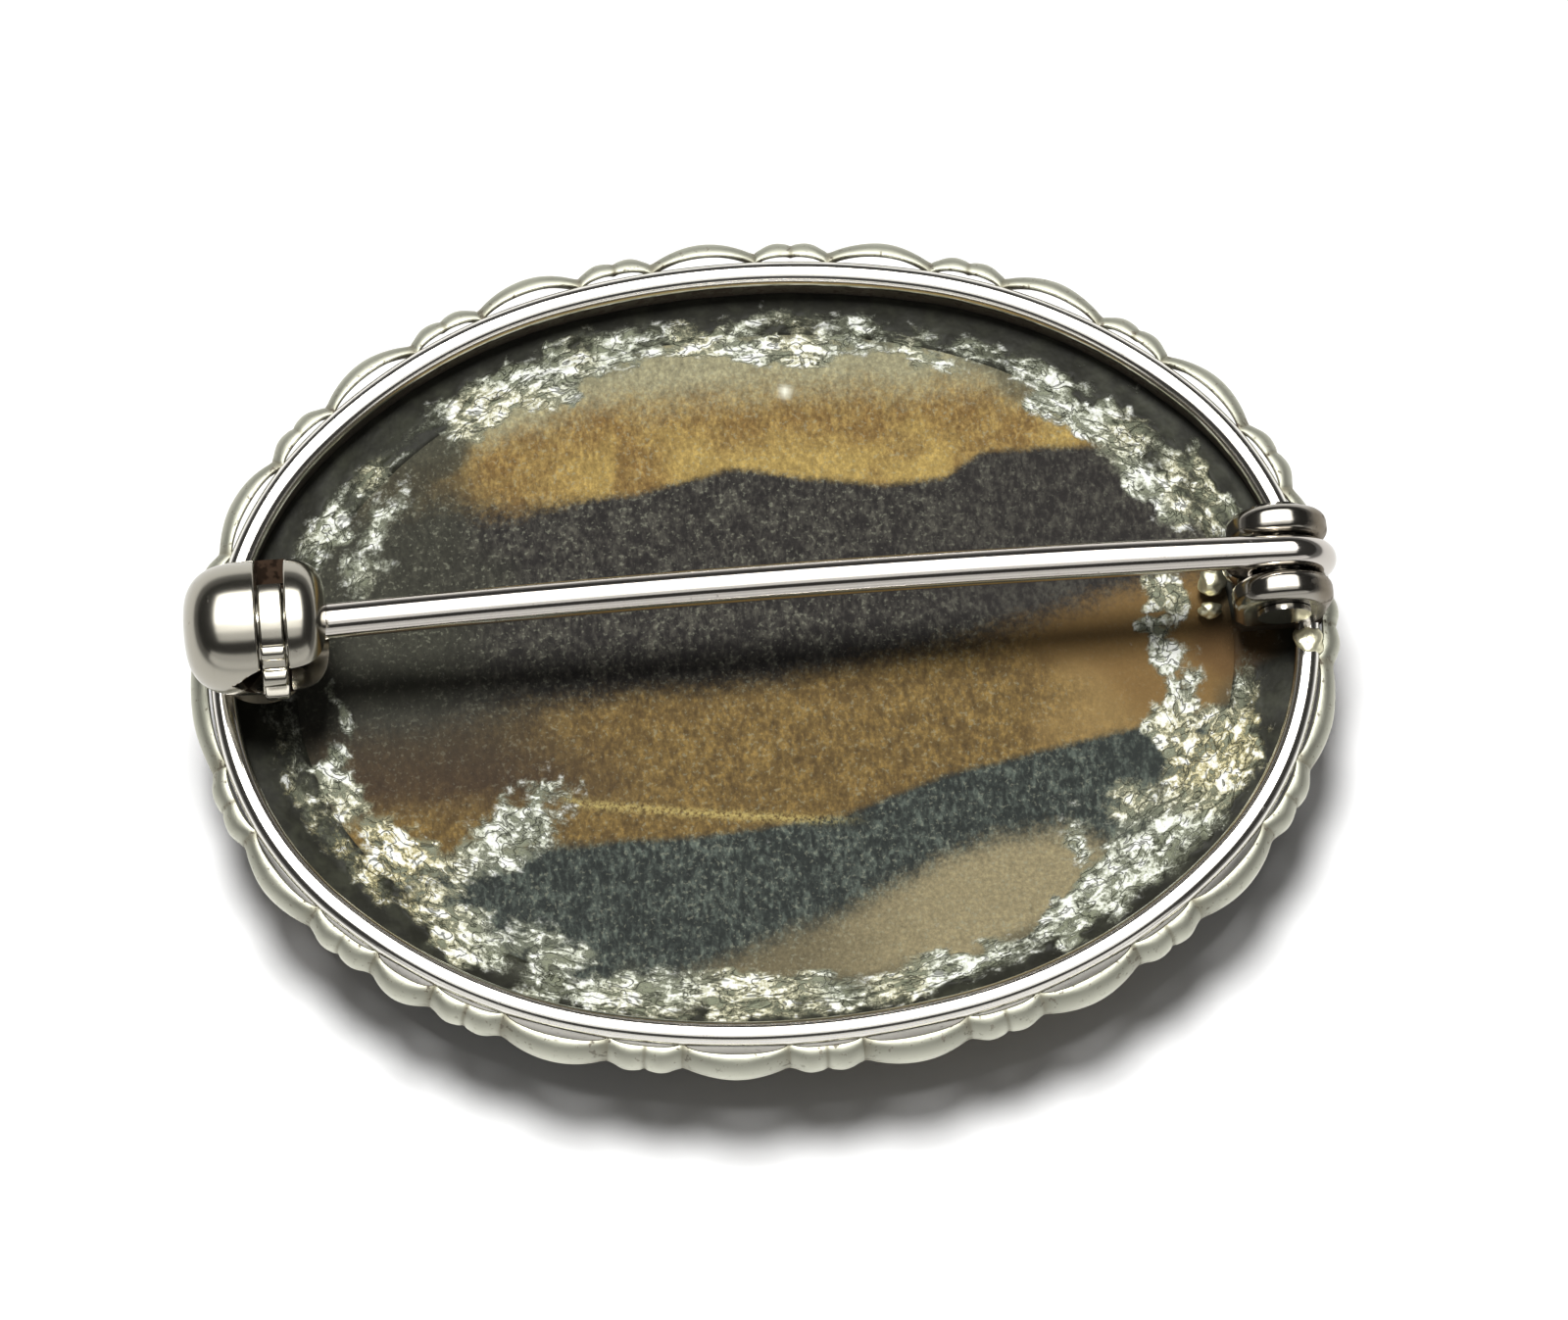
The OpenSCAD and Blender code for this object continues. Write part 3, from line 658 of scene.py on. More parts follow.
# Zones of the stone's back, in millimetres. A pair is where a zone begins and where it is full
zones = dict(
    softX=(-8, -4), hazeX=(-9.5, -5.5), hazeY=(-3.5, 0.0), hazeLean=0.25, hazeMost=0.85, rim=(0.83, 0.89),
    rimMost=0.6, leftX=(6, 9), leftY=(0, 3), leftMore=0.3, leftWider=0.06, brightTop=5.9, brightY=(-1.0, 0.2),
    brightX=(-7, -4), brightCloud=(0.3, 0.7), brightMost=0.8, sunny=(5.0, 8.5), sunnyLean=0.8,
    deepX=(-8.5, -3.0), deepY=(-4.6, -3.0), deepLean=1.2, deepOver=-2.5, deepMost=0.8, paleFall=0.45,
    paleOver=-0.6, calmX=(3, 8), calmY=(1.0, 5.9), calmUnder=2.0, calmSmoke=0.45, calmSunny=0.8, calmDeep=0.6,
    sandX=(-0.5, 5.0), veinHalf=0.13, veinFrom=(-6.3, -5.8), veinTo=(0.5, 3.0), veinMost=0.7,
)
# Pale flecks: place x and y, radius and strength
flecks = [(1.12, 8.2, 0.15, 1.0), (0.98, 8.02, 0.09, 0.8)]


def heightOver(x, y, places):
    # How far y lies above the line through the places
    spots = np.array(places, dtype=float)
    return y - np.interp(x, spots[:, 0], spots[:, 1])


def roundness(x, y):
    # 0 in the middle of the oval and 1 along it
    return np.hypot(x / brooch["ovalA"], y / brooch["ovalB"])


def stoneMarks(points):
    # The band edges and zones that the agate's finish reads, worked out for each point of the stone
    x, y, z = points[..., 0], points[..., 1], points[..., 2]
    s, marks = zones, {}
    for name, edge in bandEdges.items():
        marks[name] = heightOver(x, y, edge["places"]) / blend(*edge["soft"], eased(x, *s["softX"]))
    back = eased(z, brooch["girdleZ"], brooch["girdleTop"])
    dusk = s["hazeMost"] * (1 - eased(x + s["hazeLean"] * y + drift(x, y, 1.5, 3, 2.5), *s["hazeX"]))
    left = eased(-x, *s["leftX"]) * eased(y, *s["leftY"])
    # Darker ring along the back's edge by the frame: a film there, with painted shade of the gutter by the
    # wall
    rim = eased(roundness(x, y) + drift(x, y, 1.1, 7, 0.1) + s["leftWider"] * left, *s["rim"])
    rim = rim * back * (s["rimMost"] + s["leftMore"] * left)
    bright = eased(s["brightTop"] + cloudy(x, y, 0.8, 9) - y, *s["brightY"]) * eased(x, *s["brightX"])
    sunny = eased(x + s["sunnyLean"] * y + drift(x, y, 1.3, 19, 2), *s["sunny"])
    deepBrown = s["deepMost"] * (1 - eased(x + s["deepLean"] * (y - s["deepOver"]), *s["deepX"]))
    deepBrown = deepBrown * eased(y, *s["deepY"])
    low, high = s["calmY"]
    calm = (1 - s["calmSunny"] * sunny * (y < s["calmUnder"])) * (1 - s["calmDeep"] * deepBrown)
    calm = calm * (1 - s["calmSmoke"] * eased(x, *s["calmX"]) * (y > low) * (y < high))
    vein = np.exp(-(heightOver(x, y, veinPlaces) / s["veinHalf"]) ** 2)
    vein = vein * eased(x, *s["veinFrom"]) * (1 - eased(x, *s["veinTo"]))
    fleck = sum(most * np.exp(-((x - spotX) ** 2 + (y - spotY) ** 2) / radius ** 2)
                for spotX, spotY, radius, most in flecks)
    return dict(marks, haze=np.maximum(dusk * eased(y, *s["hazeY"]), rim), sunny=sunny, deepBrown=deepBrown,
                bright=s["brightMost"] * bright * eased(cloudy(x, y, 0.9, 10), *s["brightCloud"]),
                pale=eased(drift(x, y, 2.2, 13, 1.6) - s["paleFall"] * (y - s["paleOver"]), 0.0, 1.0),
                speckle=back * calm, sandDark=1 - eased(x + drift(x, y, 0.5, 17, 1.5), *s["sandX"]),
                vein=s["veinMost"] * vein * back, ground=back, fleck=back * fleck, **crustMarks(x, y))


def makeStone():
    # Rings of the oval drawn inwards: flat ground back, bevel, upright girdle, and a dome with a flat top
    s = stoneSizes
    edgeX, edgeY = ovalPoint(fullTurn(s["aroundSteps"]), brooch["girdleOff"])
    flat = np.linspace(0, 1, s["flatRings"])
    bevel = np.linspace(0, 1, s["bevelRings"])[1:]
    dome = np.sin(np.linspace(0, math.asin(s["lastRing"]), s["domeRings"]))
    top = np.linspace(1, 0, s["topRings"])[1:] * math.sqrt(1 - s["lastRing"] ** 2)
    scaleX, scaleY = (np.concatenate([flat * share, share + bevel * (1 - share), np.sqrt(1 - dome ** 2), top])
                      for share in (brooch["flatX"], brooch["flatY"]))
    z = np.concatenate([flat * 0 + brooch["backZ"],
                        brooch["backZ"] + bevel * (brooch["girdleTop"] - brooch["backZ"]),
                        brooch["girdleZ"] - s["domeHeight"] * dome / s["lastRing"], top * 0])
    points = stacked(edgeX * scaleX[:, None], edgeY * scaleY[:, None], z[:, None])
    makePiece("agate_cabochon", [(points, False, True)], bandedAgate, stoneMarks(points), slot="agate",
              node="agate_stone")


cementSizes = dict(
    alongSteps=1100, acrossSteps=34, wallZ=4.68, wallOff=-0.24, wallSlope=0.5, tuck=0.35, lift=0.02,
    sunk=0.07, relief=0.1, curl=0.3, curlDrift=0.3, curlHalf=0.25, lumps=0.07, under=0.1,
    slopeLap=0.1, sinking=(-0.05, 0.2), reliefCrust=(0.2, 0.7), reliefEdge=(-0.1, 0.1),
)
crustSizes = dict(
    ring=0.905, ringHalf=(0.01, 0.055), ringLeast=0.1, ringMore=0.6, edge=(0.35, 1.5), least=0.8, more=0.6,
    warmCloud=(0.5, 0.8), warmClouds=0.5, warmEnds=0.6, leftX=(8, 10), leftY=(2, 4), rightX=(10.5, 11.5),
    rightY=(1.5, 2.5), rightLow=(-5.0, -4.0),
)
# The brown stain of the stone and the cement under the hinge
rust = dict(x=13.6, y=-0.3, halfX=1.5, halfY=1.0, edge=(0.5, 1.2), most=0.85)
# Patches of crust: place x, y, half length, half width, turn in degrees and strength
crustPatches = [
    (-5.9, 9.0, 3.3, 0.75, 17, 1.0), (-7.6, 8.1, 1.5, 0.6, 25, 1.0), (0.4, 9.6, 4.0, 0.5, -2, 0.9),
    (5.4, 8.9, 1.9, 0.35, -12, 0.6), (9.6, 7.0, 2.4, 0.65, -36, 1.0), (11.5, 4.8, 1.8, 0.7, -56, 1.0),
    (13.2, 4.5, 1.3, 0.45, -60, 0.9), (11.8, 1.3, 1.0, 0.5, 90, 1.0), (11.4, -0.3, 0.7, 0.5, 88, 1.0),
    (11.8, -2.6, 1.9, 0.75, 84, 1.0), (13.4, -3.2, 1.2, 0.6, 130, 1.0), (12.2, -4.9, 2.4, 1.0, 62, 0.95),
    (8.6, -5.8, 1.0, 0.55, 110, 0.5), (10.4, -5.3, 1.2, 0.8, 60, 0.6), (9.9, -7.0, 1.8, 0.75, 38, 0.95),
    (8.0, -8.2, 1.2, 0.6, 30, 1.1), (4.3, -9.6, 2.2, 0.6, 13, 1.0), (-2.4, -9.8, 5.0, 0.75, -3, 1.0),
    (-6.8, -8.1, 1.5, 0.6, -22, 0.75), (-9.3, -7.4, 1.9, 0.75, -38, 0.9), (-7.6, -4.6, 2.1, 1.05, 33, 0.85),
    (-9.6, -6.0, 1.2, 0.7, 60, 0.7), (-10.9, -5.0, 1.7, 0.7, -44, 1.0), (-12.5, -3.0, 1.2, 0.55, -72, 0.95),
    (-12.3, -0.9, 0.9, 0.3, 98, 0.8), (-12.3, 4.9, 0.8, 0.45, 60, 0.9), (-11.2, 4.2, 2.3, 0.7, 62, 0.55),
]


def crustStrength(x, y):
    # The strongest of the patches at each place, each a soft-edged ellipse whose outline is ragged, over a
    # thin and broken ring by the frame
    crust = crustSizes
    ring = 1 - eased(np.abs(roundness(x, y) - crust["ring"]), *crust["ringHalf"])
    strength = ring * (crust["ringLeast"] + crust["ringMore"] * cloudy(x, y, 0.9, 51))
    x = x + drift(x, y, 0.9, 52, 0.7) + drift(x, y, 0.3, 53, 0.5)
    y = y + drift(x, y, 0.9, 54, 0.6) + drift(x, y, 0.3, 55, 0.5)
    for placeX, placeY, halfLength, halfWidth, turn, most in crustPatches:
        c, s = math.cos(math.radians(turn)), math.sin(math.radians(turn))
        along, across = (x - placeX) * c + (y - placeY) * s, (y - placeY) * c - (x - placeX) * s
        distance = np.hypot(along / halfLength, across / halfWidth)
        strength = np.maximum(strength, most * (1 - eased(distance, *crust["edge"])))
    return strength * (crust["least"] + crust["more"] * cloudy(x, y, 0.7, 56))


def crustMarks(x, y):
    # Warmth: clouds of yellowish crust, and more of it at the lower left and under the hinge. The marks of
    # the ring are places on a cylinder, half the way along the oval and the full way across it, in metres
    crust = crustSizes
    away = np.hypot((x - rust["x"]) / rust["halfX"], (y - rust["y"]) / rust["halfY"])
    ends = eased(-x, *crust["leftX"]) * eased(-y, *crust["leftY"])
    ends = ends + eased(x, *crust["rightX"]) * eased(-y, *crust["rightY"]) * eased(y, *crust["rightLow"])
    clouds = eased(cloudy(x, y, 1.6, 41), *crust["warmCloud"])
    turn = np.arctan2(y / brooch["ovalB"], x / brooch["ovalA"])
    half = (brooch["ovalA"] + brooch["ovalB"]) / 4 * mm
    return dict(crust=crustStrength(x, y), warm=crust["warmClouds"] * clouds + crust["warmEnds"] * ends,
                rust=rust["most"] * (1 - eased(away + drift(x, y, 0.6, 61, 0.5), *rust["edge"])),
                ringX=half * np.cos(turn), ringY=half * np.sin(turn), ringZ=2 * half * roundness(x, y))


def makeCement():
    # A sheet from the wall inwards over the stone's bevel, its inner edge tucked under the flat back
    c, back = cementSizes, brooch["backZ"]
    turn = turnsAlong(c["alongSteps"])
    girdleX, girdleY = ovalPoint(turn, brooch["girdleOff"])
    inwardX, inwardY = girdleX * (1 - brooch["flatX"]), girdleY * (1 - brooch["flatY"])
    flatEdge = np.hypot(inwardX, inwardY) - brooch["girdleOff"]
    share = np.linspace(0, 1, c["acrossSteps"])
    off = c["wallOff"] - share * (flatEdge + c["tuck"] + c["wallOff"])
    x, y = ovalPoint(turn, off)
    marks = crustMarks(x, y)
    beyond = off + flatEdge
    slope = eased(off, -flatEdge - c["slopeLap"], c["wallOff"] + c["wallSlope"])
    curlX, curlY = x + cloudy(x, y, 0.3, 21) * c["curlDrift"], y + cloudy(x, y, 0.3, 22) * c["curlDrift"]
    curls = np.clip(1 - np.abs(cloudy(curlX, curlY, c["curl"], 23) - 0.5) / c["curlHalf"], 0, 1)
    z = back + c["lift"] + (c["wallZ"] - back + drift(x, y, 0.7, 31, c["lumps"])) * slope
    z = z - c["sunk"] * eased(-beyond, *c["sinking"])
    z = z + c["relief"] * eased(marks["crust"], *c["reliefCrust"]) * curls * eased(beyond, *c["reliefEdge"])
    grid = stacked(x, y, z)
    grid = np.concatenate([grid, grid[:, -1:] - [0, 0, c["under"]]], axis=1)
    marks = {name: np.concatenate([values, values[:, -1:]], axis=1) for name, values in marks.items()}
    makePiece("cement_crust", [(grid, True, False)], driedCement, marks, slot="cement", node="cement_ring",
              sharpAngle=80)


makeStone()
makeCement()
print("stone and cement made")


# Hinge

hingeSizes = dict(
    earRadius=1.45, earThickness=0.88, earGap=1.07, plateLength=2.5, plateLow=5.55, plateTop=6.12,
    edgeRadius=0.3, crown=0.06, crownPower=2.2, capShare=0.75, footCorners=(-1, -0.25, 0.25, 1),
    plateCorner=0.12, plateEdge=[(0.08, 0.0), (0.02, 0.03), (0.0, 0.09)], outerDarkening=0.9, outerDarkeningX=(0.3, 1.2),
    plateTarnishAndShade=1.3,
)
# Lumps of solder: place, the three radii and the seed of their unevenness
solderBlobs = [(15.56, -1.93, 5.82, 0.42, 0.5, 0.4, 1), (13.0, 0.3, 5.0, 0.4, 0.42, 0.34, 2),
               (12.95, -0.45, 4.75, 0.34, 0.24, 0.26, 3)]


def earSheets(side):
    # A disc with rounded edges that runs down into the plate: its outline times a rounding across its width
    h, turn = hingeSizes, fullTurn(96)
    reach, plate, foot = h["earRadius"], h["plateLength"] / 2, h["plateLow"] - brooch["rivetZ"]
    outX, outZ = reach * np.sin(turn), reach * np.cos(turn)
    below = (turn > math.pi / 2) & (turn < 3 * math.pi / 2)
    spots = np.linspace(-1, 1, below.sum())
    outX[below] = np.interp(spots, h["footCorners"], [reach, plate, -plate, -reach])
    outZ[below] = np.interp(spots, h["footCorners"], [0, foot, foot, 0])
    half, edge, cap = h["earThickness"] / 2, h["edgeRadius"], [h["capShare"] * reach]
    arc, belly = np.linspace(0, math.pi / 2, 6), np.linspace(-1, 1, 13)[1:-1]
    into, inset = edge * (1 - np.cos(arc)), edge * (1 - np.sin(arc))
    across = np.concatenate([[-half], into - half, belly * (half - edge), half - into[::-1], [half]])[:, None]
    inset = np.concatenate([cap, inset, belly * 0, inset[::-1], cap])[:, None]
    scale = 1 - (inset + h["crown"] * np.abs(across / half) ** h["crownPower"]) / reach
    middle = side * (h["earGap"] + h["earThickness"]) / 2
    return closedTube(onPinLine(brooch["rivetX"] + scale * outX, middle + across,
                                brooch["rivetZ"] + scale * outZ))


def plateSheets():
    # A rectangle that draws in a little towards its rounded upper edge
    h = hingeSizes
    halfX, halfY = h["plateLength"] / 2, h["earGap"] / 2 + h["earThickness"]
    x, y = boxed(-halfX, halfX, -halfY, halfY, h["plateCorner"]).T
    levels = [(h["plateLow"], 0.0)] + [(h["plateTop"] - drop, inset) for drop, inset in h["plateEdge"]]
    return closedTube(np.stack([onPinLine(brooch["rivetX"] + x * (1 - inset / halfX),
                                          y * (1 - inset / halfY), z) for z, inset in levels]))


def blobSheet(x, y, z, radiusX, radiusY, radiusZ, seed):
    # A lump of solder: an ellipsoid whose radius swells and sinks a little
    turn, tilt = fullTurn(40), np.linspace(0, math.pi, 22)[:, None]
    outX, outY, up = np.cos(turn) * np.sin(tilt), np.sin(turn) * np.sin(tilt), np.cos(tilt)
    swell = 1 + drift(outX + 5, outY + up, 0.6, seed, 0.45) * np.sin(tilt) ** 0.5
    grid = onPinLine(x + radiusX * swell * outX, y + radiusY * swell * outY, z + radiusZ * swell * up)
    return grid, False, True


def makeHinge():
    # Both ears and the plate under them are one piece, darker towards its outer end, with tarnish and painted
    # shade on the plate under the ears
    h, ears = hingeSizes, earSheets(1) + earSheets(-1)
    low, high = (brooch["rivetX"] + reach for reach in h["outerDarkeningX"])
    # The plate under the ears: tarnish with painted shade, near black
    recess = [h["outerDarkening"] * eased(sheet[0][..., 0], low, high) for sheet in ears] + [h["plateTarnishAndShade"]] * 3
    makePiece("hinge_ears", ears + plateSheets(), silvers["earSilver"], {"recess": recess})
    makePiece("solder_blobs", [blobSheet(*blob) for blob in solderBlobs], silvers["solder"])


makeHinge()
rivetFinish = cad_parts["hinge_rivet"].data.materials
rivetFinish.clear()
rivetFinish.append(silvers["earSilver"])
print("hinge made")


# Ball catch

ballSizes = dict(
    halfLength=2.03, powers=(3.0, 4.2), slotWidth=0.82, boreRadius=1.2, boreLength=2.4, boreX=0.1,
    boreDeep=-1.1, holeRadius=0.61, mouthHalf=0.61, mouthTurn=256, mouthPoint=-0.74, mouthPower=0.7,
    slotLow=102, slotHigh=284, edge=0.07, bridgeLap=0.02, footRadius=1.5, neckRadius=1.15, neckPower=2.2,
    footLow=5.98, footHeight=1.3, ringSteps=121, bridgeSteps=61, dark=1.4, darkDepth=(0.1, 0.2),
    darkFrom=-1.2, bridgeTarnishAndShade=0.2, footTarnishAndShade=0.75, neckTarnishAndShade=1,
)


def aroundPin(x, radius, turn):
    # Turn 0 is down, 90 towards +Y and 180 up, about the line of the pin
    return onPinLine(brooch["ballX"] + x, radius * np.sin(turn), brooch["pinZ"] - radius * np.cos(turn))


def barrelRadius(x):
    # Superellipse: |x / half length| ** power + (radius / ball radius) ** power = 1, blunter at the pin's end
    b = ballSizes
    share = np.clip(np.abs(x) / b["halfLength"], 0, 1)
    power = np.where(np.asarray(x) < 0, *b["powers"])
    return brooch["ballRadius"] * (1 - share ** power) ** (1 / power)


def splitRing(profile, gapTurn, gapHalf, steps):
    # A profile of x and radius carried round the pin, from one side of a straight-sided gap to the other
    radius = profile[:, 1:]
    gap = np.arcsin(np.clip(np.reshape(gapHalf, (-1, 1)) / np.maximum(radius, 1e-6), 0, 1))
    turn = math.radians(gapTurn) + gap + np.linspace(0, 1, steps) * (2 * math.pi - 2 * gap)
    return aroundPin(profile[:, :1], radius, turn)


def barrelProfile(low, high):
    # Points of the ball's outline between two places along the pin, closer together near its ends
    b = ballSizes
    cosine = -np.cos(np.linspace(0, math.pi, 181))
    x = b["halfLength"] * np.sign(cosine) * np.abs(cosine) ** (2 / np.where(cosine < 0, *b["powers"]))
    x = np.concatenate([[low], x[(x > low) & (x < high)], [high]])
    return np.stack([x, barrelRadius(x)], axis=1)


def slotEdge(place, side):
    # Rounded edge of the slot, from the ball's outline to the slot's wall
    arc, edge = np.linspace(0, math.pi / 2, 5), ballSizes["edge"]
    x, radius = place + side * edge * (1 - np.sin(arc)), barrelRadius(place) - edge * (1 - np.cos(arc))
    return np.stack([x, radius], axis=1)


def makeBall():
    # Two halves either side of the rotor's slot, the bridge that joins them under it, and the foot
    b = ballSizes
    left, right = brooch["slotX"] - b["slotWidth"] / 2, brooch["slotX"] + b["slotWidth"] / 2
    edge, bore, mouth, deep, lap = b["edge"], b["boreRadius"], b["mouthPoint"], b["boreDeep"], b["bridgeLap"]
    # Closed half: outline to the slot, rounded edge, slot wall, bore
    wall = [[left, bore], [0.5 * (left + mouth), bore], [mouth, bore], [deep, bore], [deep, 0]]
    closedHalf = np.concatenate([barrelProfile(-b["halfLength"], left - edge), slotEdge(left, -1), wall])
    gap = eased(closedHalf[:, 0], mouth, left) ** b["mouthPower"] * b["mouthHalf"]
    leftGrid = splitRing(closedHalf, b["mouthTurn"], gap, b["ringSteps"])
    # Open half: a ring with the mouth across it and the hole for the pin
    blunt = b["powers"][1]
    holeX = b["halfLength"] * (1 - (b["holeRadius"] / brooch["ballRadius"]) ** blunt) ** (1 / blunt)
    boreEnd = b["boreX"] + b["boreLength"] / 2
    openHalf = np.concatenate([[[right, bore]], slotEdge(right, 1)[::-1],
                               barrelProfile(right + edge, holeX)[1:],
                               [[boreEnd, b["holeRadius"]], [boreEnd, bore]]])
    rightGrid = splitRing(openHalf, b["mouthTurn"], b["mouthHalf"], b["ringSteps"])
    bridge = np.concatenate([[[left - lap, bore]], barrelProfile(left - lap, right + lap),
                             [[right + lap, bore]]])
    span = np.radians(np.linspace(b["slotHigh"] - 360, b["slotLow"], b["bridgeSteps"]))
    bridgeGrid = aroundPin(bridge[:, :1], bridge[:, 1:], span)
    # Foot: a ring whose sides curve in to the neck, soldered to the frame
    rise, around = np.linspace(0, 1, 14)[:, None], fullTurn(72)
    radius = blend(b["neckRadius"], b["footRadius"], (1 - rise) ** b["neckPower"])
    foot = onPinLine(brooch["ballX"] + radius * np.cos(around), radius * np.sin(around),
                     b["footLow"] + rise * b["footHeight"])
    inside = leftGrid[closedHalf[:, 0] >= mouth - 0.03]
    sheets = [(leftGrid, False, False), *cutEnds(inside), (rightGrid, True, False), *cutEnds(rightGrid),
              (bridgeGrid, True, False), *cutEnds(bridgeGrid), *closedTube(foot)]
    # Painted shade, near black, in the slot, the mouth and the bore, and tarnish with painted shade a little
    # under the bridge and on the foot under the ball
    dark, under = b["dark"], b["bridgeTarnishAndShade"]
    leftDark = dark * eased(brooch["ballRadius"] - closedHalf[:, 1:], *b["darkDepth"])
    leftDark = leftDark * (closedHalf[:, :1] > b["darkFrom"])
    rows = np.arange(len(openHalf))[:, None]
    rightDark = dark * ((rows == 0) | (rows > len(openHalf) - 3))
    bridgeDark = np.where(np.arange(b["bridgeSteps"]) == b["bridgeSteps"] - 1, dark, under)
    recess = [leftDark, dark, dark, rightDark, under, under, bridgeDark, dark, dark, b["footTarnishAndShade"],
              b["neckTarnishAndShade"], b["neckTarnishAndShade"]]
    makePiece("catch_ball", sheets, silvers["ballSilver"], {"recess": recess})


rotorSizes = dict(
    sleeveRadius=1.15, sleeveBore=0.68, sleeveLength=2.3, gapTurn=306, gapHalf=0.52, drumRadius=1.8,
    drumWidth=0.7, drumLow=155, drumHigh=280, tabTurn=14, tabRadius=2.12, tabRound=0.1, lap=0.05,
    sleeveCorner=0.05, drumCorner=0.06, tabEase=2, tabEnd=3,
)
# Ridges of the thumb tab: turn, distance from the pin's line and radius
thumbRidges = [(221, 1.74, 0.24), (248, 1.8, 0.3)]


def makeRotor():
    # A split sleeve with a shutter whose outer radius rises over the ridges and the thumb tab
    r, x, half = rotorSizes, ballSizes["boreX"], rotorSizes["sleeveLength"] / 2
    sleeve = boxed(r["sleeveBore"], r["sleeveRadius"], x - half, x + half, r["sleeveCorner"])[:, ::-1]
    sleeveGrid = splitRing(sleeve, r["gapTurn"], r["gapHalf"], 81)
    turn = np.linspace(r["drumLow"], r["drumHigh"], 301)
    outer = np.full_like(turn, r["drumRadius"])
    for ridgeTurn, distance, radius in thumbRidges:
        away = np.radians(turn - ridgeTurn)
        inside = radius ** 2 - (distance * np.sin(away)) ** 2
        ridge = distance * np.cos(away) + np.sqrt(np.maximum(inside, 0))
        outer = np.where(inside > 0, np.maximum(outer, ridge), outer)
    tabFrom = r["drumHigh"] - r["tabTurn"]
    raised = eased(turn, tabFrom - r["tabEase"], tabFrom + r["tabEase"])
    outer = outer + (r["tabRadius"] - r["drumRadius"]) * raised
    outer = outer - r["tabRound"] * eased(turn, r["drumHigh"] - r["tabEnd"], r["drumHigh"])
    section = boxed(-r["drumWidth"] / 2, r["drumWidth"] / 2, 0.0, 1.0, r["drumCorner"])
    radius = blend(r["sleeveRadius"] - r["lap"], outer, section[:, 1:])
    drumGrid = aroundPin(brooch["slotX"] + section[:, :1], radius, np.radians(turn))
    sheets = [(sleeveGrid, True, False), *cutEnds(sleeveGrid), (drumGrid, True, False), *cutEnds(drumGrid)]
    # Tarnish with painted shade of the sleeve and its two ends, then of the shutter, darkest at its foot
    # inside the slot, and its two ends
    recess = [0.2, 0.6, 0.6, 1.0 * (section[:, 1:] < 0.5), 0.6, 0.3]
    makePiece("rotor_with_tab", sheets, silvers["ballSilver"], {"recess": recess}, body="rotor",
              node="catch_rotor")


makeBall()
makeRotor()
print("catch made")


# Pin

pinSizes = dict(
    radius=0.51, eyeWire=0.46, eyeRadius=1.18, eyeTurn=276, bowRadius=140.0, bowTurn=5.75, shoulder=1.35,
    pointLength=2.3, tipRadius=0.08, thinAt=0.8, aroundSteps=40, liningRadius=0.96, liningBore=0.6,
    liningHalf=0.3, liningCorner=0.04,
)


def onArc(x, z, radius, turn):
    # Points at turns from straight up, towards -X
    return np.stack([x - radius * np.sin(turn), z + radius * np.cos(turn)], axis=1)


def makePin():
    # A tapered point, a slightly bowed stem and a wound eye: one round section carried along two arcs
    p, rivetX, rivetZ = pinSizes, brooch["rivetX"], brooch["rivetZ"]
    bowTurn, bow, wound = math.radians(p["bowTurn"]), p["bowRadius"], p["eyeRadius"]
    bowX, bowZ = rivetX + (wound - bow) * math.sin(bowTurn), rivetZ + (wound - bow) * math.cos(bowTurn)
    pointTurn = math.asin((bowX - brooch["ballX"] - p["shoulder"]) / bow)
    shares = np.linspace(0, 1, 140)
    turns = pointTurn - shares * (pointTurn + bowTurn)
    stem = onArc(bowX, bowZ, bow, turns)
    stemRadius = blend(p["radius"], p["eyeWire"], eased(shares, p["thinAt"], 1))
    taper = np.linspace(0, 1, 20)[:-1]
    back = (1 - taper)[:, None] * p["pointLength"]
    tip = stem[0] - back * np.array([math.cos(pointTurn), math.sin(pointTurn)])
    tipRadius = blend(p["tipRadius"], p["radius"], np.sin(taper * math.pi / 2))
    eyeTurns = -bowTurn - np.radians(np.linspace(0, p["eyeTurn"], 110))[1:]
    eye = onArc(rivetX, rivetZ, wound, eyeTurns)
    centre = np.concatenate([tip, stem, eye])
    direction = np.concatenate([np.full(len(tip), pointTurn), turns, eyeTurns])[:, None]
    radius = np.concatenate([tipRadius, stemRadius, np.full(len(eye), p["eyeWire"])])[:, None]
    around, ring = fullTurn(p["aroundSteps"]), fullTurn(72)
    rise = radius * np.cos(around)
    grid = onPinLine(centre[:, :1] - rise * np.sin(direction), -radius * np.sin(around),
                     centre[:, 1:] + rise * np.cos(direction))
    lining = boxed(p["liningBore"], p["liningRadius"], -p["liningHalf"], p["liningHalf"], p["liningCorner"])
    reach, across = lining[:, :1], lining[:, 1:]
    liningGrid = onPinLine(rivetX + reach * np.cos(ring), across, rivetZ + reach * np.sin(ring))
    makePiece("pin_with_eye", [*closedTube(grid), (liningGrid, True, True)], silvers["pinSilver"], body="pin",
              slot="pin_wire", node="pin_stem")


makePin()
print("pin made")


# Floor, light and camera

